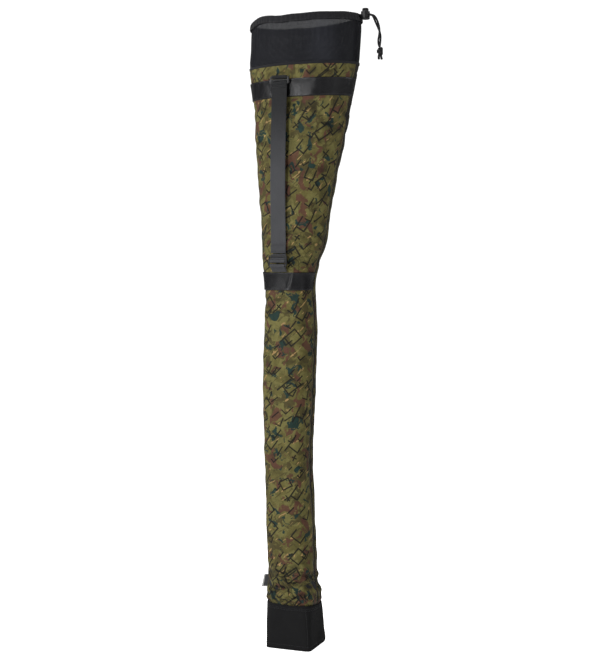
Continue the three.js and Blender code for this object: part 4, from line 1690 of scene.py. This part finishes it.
@dataclass
class PrintedBody:
    """The printed shell, its lining, the two coated bands and the side tag, in millimetres."""

    bottom: float = 70.0
    seam: float = 1110.5
    half_count: int = 36
    row_step: float = 5.0
    lining_wall: float = 3.1
    lining_top: float = 1106.5
    grow: float = 0.030  # how much too large the cloth is before it settles
    most_fold: float = 2.6
    last_frame: int = 22
    calm_height: float = 765.0  # where the folds are kept small, above the lower band
    calm_reach: float = 32.0
    held: tuple[tuple[float, float], ...] = ((0.0, 88.0), (685.0, 726.0), (1047.0, 1087.0), (1106.0, 1300.0))
    hold_run: float = 14.0  # how far beyond a held height the hold reaches
    seam_heights: tuple[float, float] = (104.0, 684.0)
    bands: tuple[Band, ...] = (
        Band("waist_band", "lower_band", 688, 722.5, 1.7, 5.0),
        Band("mouth_band", "upper_band", 1050, 1084, 6.2, -62.0),
    )

    def hold(self, z: float) -> float:
        """How firmly the cloth is held at a height: 1 in the boot, at the bands and at the collar seam."""
        away = min(max(low - z, z - high, 0.0) for low, high in self.held)
        return max(0.0, 1.0 - away / self.hold_run)

    def build_shell(self) -> None:
        """The printed cloth from inside the boot to the collar seam, creased by cloth simulation."""
        close = np.arange(self.bottom, 100.0, 2.5)
        count = int((self.seam - 100.0) / self.row_step) + 1
        heights = np.concatenate([close, np.linspace(100.0, self.seam, count)])
        grid = np.stack([body_ring(shell_skin(z), z, self.half_count) for z in heights])
        flat = np.stack([body_flat(shell_skin(z), z, self.half_count, z) for z in heights])
        out = outward(grid)
        seeded = grid.copy()
        for r, z in enumerate(heights):
            free = 1 - self.hold(z)
            for c in range(grid.shape[1]):
                x, y, h = grid[r, c]
                fold = fold_noise(x / 17, y / 17, h / 24, 5.3) * 0.9
                fold += fold_noise(x / 8, y / 8, h / 30, 9.1) * 0.4
                seeded[r, c] += out[r, c] * (fold * 0.7 - 0.25) * free
        shell = grid_mesh("printed_shell", seeded, flat, wrap_columns=True)
        self._crease(shell)
        places = mesh_points(shell).reshape(grid.shape)
        shift = places - grid
        size = np.linalg.norm(shift, axis=2, keepdims=True)
        calm = 1 - 0.75 * np.exp(-(((heights - self.calm_height) / self.calm_reach) ** 2))[:, None, None]
        shift *= np.minimum(1, self.most_fold / np.maximum(size, 1e-6)) * calm
        places = grid + shift
        for r, z in enumerate(heights):
            free = 1 - self.hold(z)
            for c in range(grid.shape[1]):
                places[r, c] += out[r, c] * self._tucks(flat[r, c, 0], z) * free
        self._pull_in_seams(places, out, heights)
        self._mark_valleys(shell, ((places - grid) * out).sum(2))
        set_mesh_points(shell, boot_edge_rise(places))
        panels = ["tube_front_panel", "tube_back_panel", "cone_front_panel", "throat_front_panel"]
        dress(subdivide(shell), Finish.PRINT, "bag", [*panels, "cone_back_panel"])

    @staticmethod
    def _mark_valleys(shell: bpy.types.Object, height: np.ndarray) -> None:
        """Stores how deep each place lies in a fold, from 0 on a crest to 1 in a valley, for the print's
        painted shade in the valleys.

        Args:
            shell: The printed cloth.
            height: How far each place stands out, by row and column.
        """
        around = np.mean([np.roll(height, shift, 1) for shift in range(-2, 3)], axis=0)
        padded = np.pad(around, ((4, 4), (0, 0)), "edge")
        mean = np.mean([padded[k : k + len(height)] for k in range(9)], axis=0)
        depth = np.clip((mean - height) / 1.6, 0, 1)
        layer = shell.data.attributes.new(VALLEY, "FLOAT", "POINT")
        layer.data.foreach_set("value", depth.astype(np.float32).ravel())

    def _tucks(self, u: float, z: float) -> float:
        """Slanting gathers above the boot and soft cross folds up the tube."""
        gather = math.exp(-(((z - 122) / 34) ** 2))
        bend = 1.6 * fold_noise(u / 34, 0, z / 40, 2.2)
        slant = 1 - 2 * abs(math.sin((z + u * 0.75) / 8.6 + bend)) ** 0.8
        counter = 1 - 2 * abs(math.sin((z - u * 0.45) / 11.5 + bend * 1.4 + 0.7)) ** 0.9
        cross = fold_noise(u / 55, 0.4, z / 13, 7.7)
        slow = fold_noise(u / 90, 1.4, z / 42, 3.9)
        return gather * (2.9 * slant + 1.6 * counter) + cross * 1.1 + slow * 1.2

    def _pull_in_seams(self, places: np.ndarray, out: np.ndarray, heights: np.ndarray) -> None:
        """Draws the cloth in along both side seams, with small puckers beside them."""
        columns = places.shape[1]
        for seam in (0, self.half_count):
            for away in (-1, 0, 1):
                c = (seam + away) % columns
                depth = 1.5 if away == 0 else 0.1
                for r, z in enumerate(heights):
                    pucker = 0.45 * math.sin(z / 2.6) if away else 0.0
                    places[r, c] -= out[r, c] * (depth + pucker) * (1 - 0.6 * self.hold(z))

    def _crease(self, shell: bpy.types.Object) -> None:
        """Lets slightly too much cloth settle between the places that hold it."""
        pins = shell.vertex_groups.new(name="held")
        for vertex in shell.data.vertices:
            pins.add([vertex.index], self.hold(vertex.co.z / MM), "REPLACE")
        modifier = shell.modifiers.new("cloth", "CLOTH")
        settings = modifier.settings
        settings.quality = 6
        settings.mass = 0.25
        settings.tension_stiffness = settings.compression_stiffness = 12
        settings.shear_stiffness = 6
        settings.bending_stiffness = 0.35
        settings.vertex_group_mass = pins.name
        settings.pin_stiffness = 1.0
        settings.shrink_min = -self.grow
        settings.use_pressure = True
        settings.uniform_pressure_force = 0.6
        settings.effector_weights.gravity = 0.0
        modifier.collision_settings.use_collision = False
        scene = bpy.context.scene
        for step in range(1, self.last_frame + 1):
            scene.frame_set(step)
        settled = mesh_points(shell.evaluated_get(bpy.context.evaluated_depsgraph_get()))
        shell.modifiers.remove(modifier)
        shell.vertex_groups.clear()
        scene.frame_set(1)
        set_mesh_points(shell, settled)

    def build_lining(self) -> None:
        """A thin inner bag with soft folds and its own floor."""
        heights = [13.0, 14.5, *np.linspace(20, self.lining_top, 120)]
        rows = []
        for z in heights:
            ring = body_ring(BAG_SKIN, z, 30, -self.lining_wall)
            centre = ring.mean(0)
            loose = min(1.0, (self.lining_top - z) / 30)
            for i, point in enumerate(ring):
                slack = 0.6 * fold_noise(point[0] / 20, point[1] / 20, z / 60, 4.4) - 0.5
                ring[i] = point + level_away(point, centre) * slack * loose
            rows.append(ring)
        floor = [rows[0] * np.array([k, k, 1]) for k in (0.02, 0.5, 0.9)]
        grid = np.stack(floor + rows)
        along = [-40, -20, 5, *heights]
        flat = np.stack([body_flat(BAG_SKIN, max(13, v), 30, v) for v in along])
        lining = grid_mesh("inner_bag", grid, flat, wrap_columns=True)
        close_ends(lining, only_lowest=True)
        thicken(lining, 0.5)
        dress(subdivide(lining), Finish.LINING, "bag", ["lining"])

    def build_seam_stitches(self) -> None:
        """A row of stitches in front of each side seam."""
        for name, angle, side in (("left", LEFT + 0.10, -1.0), ("right", FRONT_END - 0.10, 1.0)):
            line = BAG_SKIN.upright(np.linspace(*self.seam_heights, 260), angle, 0.15)
            outs = np.tile(np.array([side, -0.25, 0.0]), (len(line), 1))
            Stitching(2.6, 1.0, 0.24, 0.2).along(f"side_stitch_{name}", line, outs, "bag")

    def build_tag(self) -> None:
        """The blank tag, a folded ribbon sewn into the left seam."""
        root, length, height, middle, thick = -53.6, 18.6, 25.0, 119.5, 1.2
        xs = np.linspace(0, length, 14)
        zs = np.linspace(-height / 2, height / 2, 12)
        x, z = np.meshgrid(xs, zs)
        across = root - x * (0.84 - 0.16 * z / 12.5)
        front = np.stack([across, -thick / 2 + 0.1 * np.sin(x / 3), middle + z - 0.06 * x], 2)
        back = front[:, ::-1] + np.array([0, thick * 0.85, 0])
        grid = np.concatenate([front, back], 1)
        flat = np.array([[(x, z) for x in np.concatenate([xs, xs[::-1]])] for z in zs])
        flat = np.concatenate([flat, flat[:, :1]], 1)
        tag = grid_mesh("side_label", grid, flat, wrap_columns=True)
        close_ends(tag)
        dress(bevel(tag, 0.2, 60), Finish.TAG, "tag", ["side_tag"])

    def build(self) -> None:
        """Makes the whole body."""
        self.build_shell()
        self.build_lining()
        for band in self.bands:
            band.build()
        self.build_seam_stitches()
        self.build_tag()


# ---------------------------------------------------------------- collar


@dataclass
class Collar:
    """The mesh collar and the hem that holds the drawcord."""

    bottom: float = 1110.8
    top: float = 1190.0
    hem_bottom: float = 1186.0
    hem_top: float = 1200.0
    half_count: int = 110
    gathers: int = 64
    tapes: tuple[tuple[str, float, float], ...] = (
        ("left", LEFT - 0.10, LEFT + 0.16),
        ("right", RIGHT - 0.24, RIGHT + 0.36),
    )
    welt: tuple[tuple[float, float], ...] = (
        (0.3, 1108.6), (0.9, 1109.4), (1.0, 1111.0), (0.8, 1112.6), (0.2, 1113.4),
    )

    def gather(self, share: float, c: int, columns: int) -> float:
        """How far a gather stands out, growing towards the hem."""
        turn = 2 * math.pi * c / columns
        even = math.sin(turn * self.gathers + 2.2 * math.sin(turn * 7) + 1.1 * math.sin(turn * 13))
        slow = fold_noise(math.cos(turn) * 2.2, math.sin(turn) * 2.2, share * 1.2, 8.8)
        return even * 0.75 * share**1.6 + slow * 1.5 * math.sin(math.pi * min(1.0, share * 1.05))

    def build_mesh(self) -> None:
        """The two mesh panels as one sleeve with side seams."""
        heights = np.linspace(self.bottom, self.top, 28)
        columns = 2 * self.half_count
        rows, flats = [], []
        for z in heights:
            share = (z - self.bottom) / (self.top - self.bottom)
            ring = body_ring(BAG_SKIN, z, self.half_count, -0.8)
            centre = ring.mean(0)
            for c in range(columns):
                sewn = 0.7 if c in (0, self.half_count) else 0.0
                ring[c] += level_away(ring[c], centre) * (self.gather(share, c, columns) - sewn)
            rows.append(rim_lift(ring, share**2))
            flats.append(body_flat(BAG_SKIN, z, self.half_count, z))
        sleeve = grid_mesh("collar_mesh", np.stack(rows), np.stack(flats), wrap_columns=True)
        dress(subdivide(sleeve), Finish.MESH, "bag", ["collar_front", "collar_back"])

    def build_seam_tapes(self) -> None:
        """A flat tape inside each side seam and along the seam to the printed body."""
        heights = np.linspace(self.bottom + 1, self.top - 5, 24)
        for name, start, end in self.tapes:
            grid = np.stack([BAG_SKIN.points(z, np.linspace(start, end, 9), -3.4) for z in heights])
            tape = grid_mesh(f"collar_tape_{name}", grid, grid[:, :, 1:])
            thicken(tape, 0.7)
            dress(subdivide(tape), Finish.TAPE, "bag")
        rows, flats = [], []
        for offset, z in self.welt:
            rows.append(body_ring(BAG_SKIN, z, self.half_count, offset))
            flats.append(body_flat(BAG_SKIN, z, self.half_count, z))
        welt = grid_mesh("collar_welt", np.stack(rows), np.stack(flats), wrap_columns=True)
        dress(welt, Finish.HEM, "bag")

    def build_hem(self) -> None:
        """The folded hem: over the rim, gathered on the drawcord, with a slot at the lock."""
        low, high = self.hem_bottom, self.hem_top
        profile = [
            (1.2, low), (2.1, low + 0.2), (2.5, low + 1.5), (2.7, low + 4), (2.7, high - 4),
            (2.2, high - 1.6), (1.0, high - 0.3), (-0.8, high), (-2.6, high - 0.3), (-3.8, high - 1.6),
            (-4.2, high - 4), (-4.2, low + 4), (-4.0, low + 1.5), (-3.6, low + 0.2), (-2.9, low),
            (-2.9, low + 3), (-2.9, high - 4), (-0.8, high - 2.2), (1.3, high - 4), (1.3, low + 3),
        ]
        columns = 2 * self.half_count
        rows, flats = [], []
        for (offset, z), along in zip(profile, run(profile)):
            ring = body_ring(BAG_SKIN, z, self.half_count, offset)
            centre = ring.mean(0)
            share = 0.85 + 0.35 * math.sin(math.pi * (z - low) / (high - low))
            for c in range(columns):
                sag = fold_noise(c / 9.0, 0, 0, 6.6) * 0.8
                ring[c] += level_away(ring[c], centre) * self.gather(1.0, c, columns) * share + UPRIGHT * sag
            rows.append(rim_lift(ring))
            flats.append(body_flat(BAG_SKIN, min(z, high - 1), self.half_count, along))
        flats.append(flats[0] + np.array([0, along + 2]))
        hem = grid_mesh("hem_channel", np.stack(rows), np.stack(flats), wrap_rows=True, wrap_columns=True)
        hem = carve(subdivide(hem), [block("slot_cutter", (8, 16, 6.2), (129.5, 0, LOCK_Z))])
        smooth(hem)
        dress(hem, Finish.HEM, "bag", ["collar_hem"])
        ring = body_ring(BAG_SKIN, low + 2.2, self.half_count, 2.6)
        line = np.concatenate([ring, ring[:1]])
        centre = ring.mean(0)
        outs = np.array([level_away(point, centre) for point in line])
        for c, out in enumerate(outs):
            line[c] += out * self.gather(1.0, c % columns, columns) * 0.95
        Stitching(2.2, 1.0, 0.24, 0.1).along("hem_stitch", rim_lift(line), outs, "bag")

    def build(self) -> None:
        """Makes the whole collar."""
        self.build_mesh()
        self.build_seam_tapes()
        self.build_hem()


# ---------------------------------------------------------------- carry strap


@dataclass(frozen=True)
class BuckleSize:
    """A slide buckle of three bars, in millimetres. The place is the middle of its hinge bar."""

    x: float
    y: float
    z: float
    width: float
    bar: float
    slot: float
    eye: float  # inner radius of the webbing's turn round a bar
    upwards: int
    thick: float = 2.4
    slot_width: float = 31.2
    corner: float = 2.0
    rounding: float = 0.7

    def bar_z(self, index: int) -> float:
        """The height of one of its bars."""
        return self.z + self.upwards * index * (self.bar + self.slot)


@dataclass
class CarryStrap:
    """The webbing strap, its two buckles, the turns on them and the sewn tabs."""

    width: float = 30.0
    thick: float = 1.5
    loop: float = 1.2
    top: float = 1067.0
    bottom: float = 758.5
    y_top: float = -76.0
    y_bottom: float = -50.4
    bow: float = 6.0
    tab_top: tuple[float, float] = (-67.6, 1086.3)
    tab_low: tuple[float, float] = (-46.0, 724.2)
    tail_length: float = 14.5
    tail_thick: float = 0.9
    tail_out: float = 1.55
    ribs: int = 9
    upper: BuckleSize = field(default_factory=lambda: BuckleSize(-2.5, -76, 1086.2, 38, 2.6, 3, 2.1, -1))
    lower: BuckleSize = field(default_factory=lambda: BuckleSize(-15, -55, 735, 37, 3, 6, 2.25, 1))

    def lean(self, z: float) -> float:
        """The strap's middle across the bag at a height."""
        return self.lower.x + (self.upper.x - self.lower.x) * (z - self.bottom) / (self.top - self.bottom)

    def webbing(
        self, name: str, path: Sequence[tuple[float, float]], thick: float, x: Callable[[float], float]
    ) -> bpy.types.Object:
        """Ribbed webbing along a side-view line.

        Args:
            name: The piece's name.
            path: The webbing's middle as (depth, height) in millimetres.
            thick: Its thickness.
            x: Gives its middle across the bag from a height.

        Returns:
            A closed mesh.
        """
        line = np.array(path, float)
        along = np.gradient(line, axis=0)
        along /= np.linalg.norm(along, axis=1, keepdims=True)
        normal = np.stack([along[:, 1], -along[:, 0]], 1)
        across = np.linspace(-1, 1, self.ribs * 4 + 1)
        ridge = 0.10 * np.abs(np.sin(across * math.pi * self.ribs / 2))
        edge = np.sqrt(np.clip(1 - ((np.abs(across) - 0.955) / 0.045).clip(0, 1) ** 2, 0, 1))
        depth = (thick / 2 - 0.1) * (0.35 + 0.65 * edge) + ridge * edge
        section = [*zip(across, depth), *zip(across[::-1], -depth[::-1])]
        grid, flat = [], []
        for (y, z), (ny, nz), far in zip(line, normal, run(line)):
            middle = x(z)
            grid.append([(middle + a * self.width / 2, y + ny * d, z + nz * d) for a, d in section])
            row = [(a * self.width / 2 + (0 if d > 0 else 2 * self.width), far) for a, d in section]
            flat.append([*row, row[0]])
        strip = grid_mesh(name, np.array(grid), np.array(flat), wrap_columns=True)
        close_ends(strip)
        smooth(strip, 50)
        return strip

    def strap_line(self, low: float, high: float, count: int, out: float = 0.0) -> list[tuple[float, float]]:
        """The strap's bowed side view between two shares of its length."""
        t = np.linspace(low, high, count)
        y = self.y_bottom + (self.y_top - self.y_bottom) * t - self.bow * np.sin(math.pi * t)
        return list(zip(y - out, self.bottom + (self.top - self.bottom) * t))

    def turn_line(
        self, buckle: BuckleSize, index: int, end: tuple[float, float], radius: float
    ) -> list[tuple[float, float]]:
        """Webbing that runs from an end point round a bar and back.

        Args:
            buckle: The buckle.
            index: Which of its bars.
            end: Where both layers stop, as (depth, height).
            radius: The inner radius of the turn.

        Returns:
            The webbing's middle line.
        """
        eye_y, eye_z = buckle.y, buckle.bar_z(index)
        middle = radius + self.loop / 2
        away = math.atan2(end[1] - eye_z, end[0] - eye_y)
        lean = math.asin((self.loop / 2) / middle)
        side = (-math.sin(away) * self.loop / 2, math.cos(away) * self.loop / 2)
        arc = [
            (eye_y + middle * math.cos(a), eye_z + middle * math.sin(a))
            for a in np.linspace(away + lean, away + 2 * math.pi - lean, 26)
        ]
        start = (end[0] + side[0], end[1] + side[1])
        stop = (end[0] - side[0], end[1] - side[1])
        halfway = ((start[0] + arc[0][0]) / 2, (start[1] + arc[0][1]) / 2)
        back = ((stop[0] + arc[-1][0]) / 2, (stop[1] + arc[-1][1]) / 2)
        return [start, halfway, *arc, back, stop]

    def build_straps(self) -> None:
        """The straight run in two halves."""
        halves = ((0.5, 1.0, "upper", "upper_slide"), (0.0, 0.5, "lower", "lower_slide"))
        for low, high, name, slide in halves:
            line = self.strap_line(low, high, 90)
            piece = self.webbing(f"strap_{name}_half", line, self.thick, self.lean)
            dress(piece, Finish.WEBBING, None, ["carry_strap"])
            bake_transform(piece)

    def build_turns(self) -> None:
        """The webbing round the buckles' bars and the tabs that are sewn to the bag."""
        strap_top = (self.y_top, self.top + 0.6)
        strap_low = (self.y_bottom + 0.7, self.bottom - 1.8)
        turns = (
            ("tab_top", self.upper, 0, self.tab_top, "bag", "upper_tab"),
            ("strap_turn_top", self.upper, 2, strap_top, "upper_slide", "strap_upper_turn"),
            ("tab_low", self.lower, 0, self.tab_low, "bag", "lower_tab"),
            ("strap_turn_low", self.lower, 1, strap_low, "lower_slide", "strap_lower_turn"),
        )
        for name, buckle, index, end, body, node in turns:
            line = self.turn_line(buckle, index, end, buckle.eye)
            turn = self.webbing(name, line, self.loop, lambda z, b=buckle: b.x)
            dress(turn, Finish.WEBBING, body, [node])

    def build_tail(self) -> None:
        """The free end, folded once and stitched, lying on the strap."""
        share = self.tail_length / (self.top - self.bottom)
        low = self.strap_line(0.003, share, 12, self.tail_out)
        y, z = low[-1]
        angles = np.linspace(0.4, math.pi - 0.4, 6)
        bend = [(y - 0.5 + 0.5 * math.cos(a), z + 0.5 * math.sin(a)) for a in angles]
        front = [(y - 1.0, z) for y, z in reversed(low)]
        tail = self.webbing("strap_free_end", [*low, *bend, *front], self.tail_thick, self.lean)
        dress(tail, Finish.WEBBING, "lower_slide", ["strap_tail"])
        seam_z = self.bottom + self.tail_length - 3.0
        y = front[2][0] - 0.5
        for k, z in enumerate((seam_z, seam_z - 7.5)):
            middle = self.lean(z)
            row = np.array([(middle + s, y + 0.02 * (z - seam_z), z) for s in np.linspace(-13.5, 13.5, 20)])
            outs = np.tile(np.array([0.0, -1.0, 0.0]), (20, 1))
            Stitching(2.4, 0.8, 0.25, 0.1).along(f"free_end_stitch_{k + 1}", row, outs, "lower_slide")

    def build_buckle(self, name: str, node: str, size: BuckleSize, body: str) -> None:
        """A slide buckle with rounded bars.

        Args:
            name: The piece's name.
            node: The CAD node that it stands for.
            size: Its sizes.
            body: The body that it rides on.
        """
        height = 3 * size.bar + 2 * size.slot
        data = bpy.data.curves.new(name, "CURVE")
        data.dimensions = "2D"
        data.fill_mode = "BOTH"
        data.extrude = (size.thick / 2 - size.rounding) * MM
        data.bevel_depth = size.rounding * MM
        data.bevel_resolution = 3
        data.offset = -size.rounding * MM
        self._rounded_loop(data, 0, size.width, height, size.corner)
        for side in (-1, 1):
            self._rounded_loop(data, side * (size.bar + size.slot) / 2, size.slot_width, size.slot, 0.8)
        frame_curve = object_of(name, data)
        frame_curve.rotation_euler = (math.pi / 2, 0, 0)
        frame_curve.location = (size.x * MM, size.y * MM, size.bar_z(1) * MM)
        bpy.context.view_layer.update()
        turned = frame_curve.matrix_world.copy()
        buckle = to_mesh(frame_curve)
        buckle.data.transform(turned)
        smooth(buckle, 40)
        dress(buckle, Finish.PLASTIC, body, [node])

    @staticmethod
    def _rounded_loop(
        data: bpy.types.Curve, middle: float, width: float, height: float, radius: float
    ) -> None:
        """Adds a closed rectangle with round corners to a flat curve."""
        places = []
        x, y = width / 2 - radius, height / 2 - radius
        for start, (sx, sy) in enumerate(((1, 1), (-1, 1), (-1, -1), (1, -1))):
            for a in np.linspace(0, math.pi / 2, 5):
                turn = a + start * math.pi / 2
                places.append((sx * x + radius * math.cos(turn), sy * y + radius * math.sin(turn) + middle))
        spline = data.splines.new("POLY")
        spline.points.add(len(places) - 1)
        for point, (px, py) in zip(spline.points, places):
            point.co = (px * MM, py * MM, 0, 1)
        spline.use_cyclic_u = True

    def build(self) -> None:
        """Makes the whole strap."""
        self.build_straps()
        self.build_turns()
        self.build_tail()
        self.build_buckle("slide_top", "upper_buckle", self.upper, "upper_slide")
        self.build_buckle("slide_low", "lower_buckle", self.lower, "lower_slide")


# ---------------------------------------------------------------- the bag


def main() -> None:
    """Builds the studio and the bag."""
    logging.basicConfig(level=logging.INFO, format="%(name)s: %(message)s")
    studio = Studio()
    studio.place_camera()
    Drawcord().build()
    studio.light()
    studio.lay_floor()
    for assembly in (CordLock(), Boot(), PrintedBody(), Collar(), CarryStrap()):
        assembly.build()
        LOG.info("%s done", type(assembly).__name__)


if __name__ == "__main__":
    main()
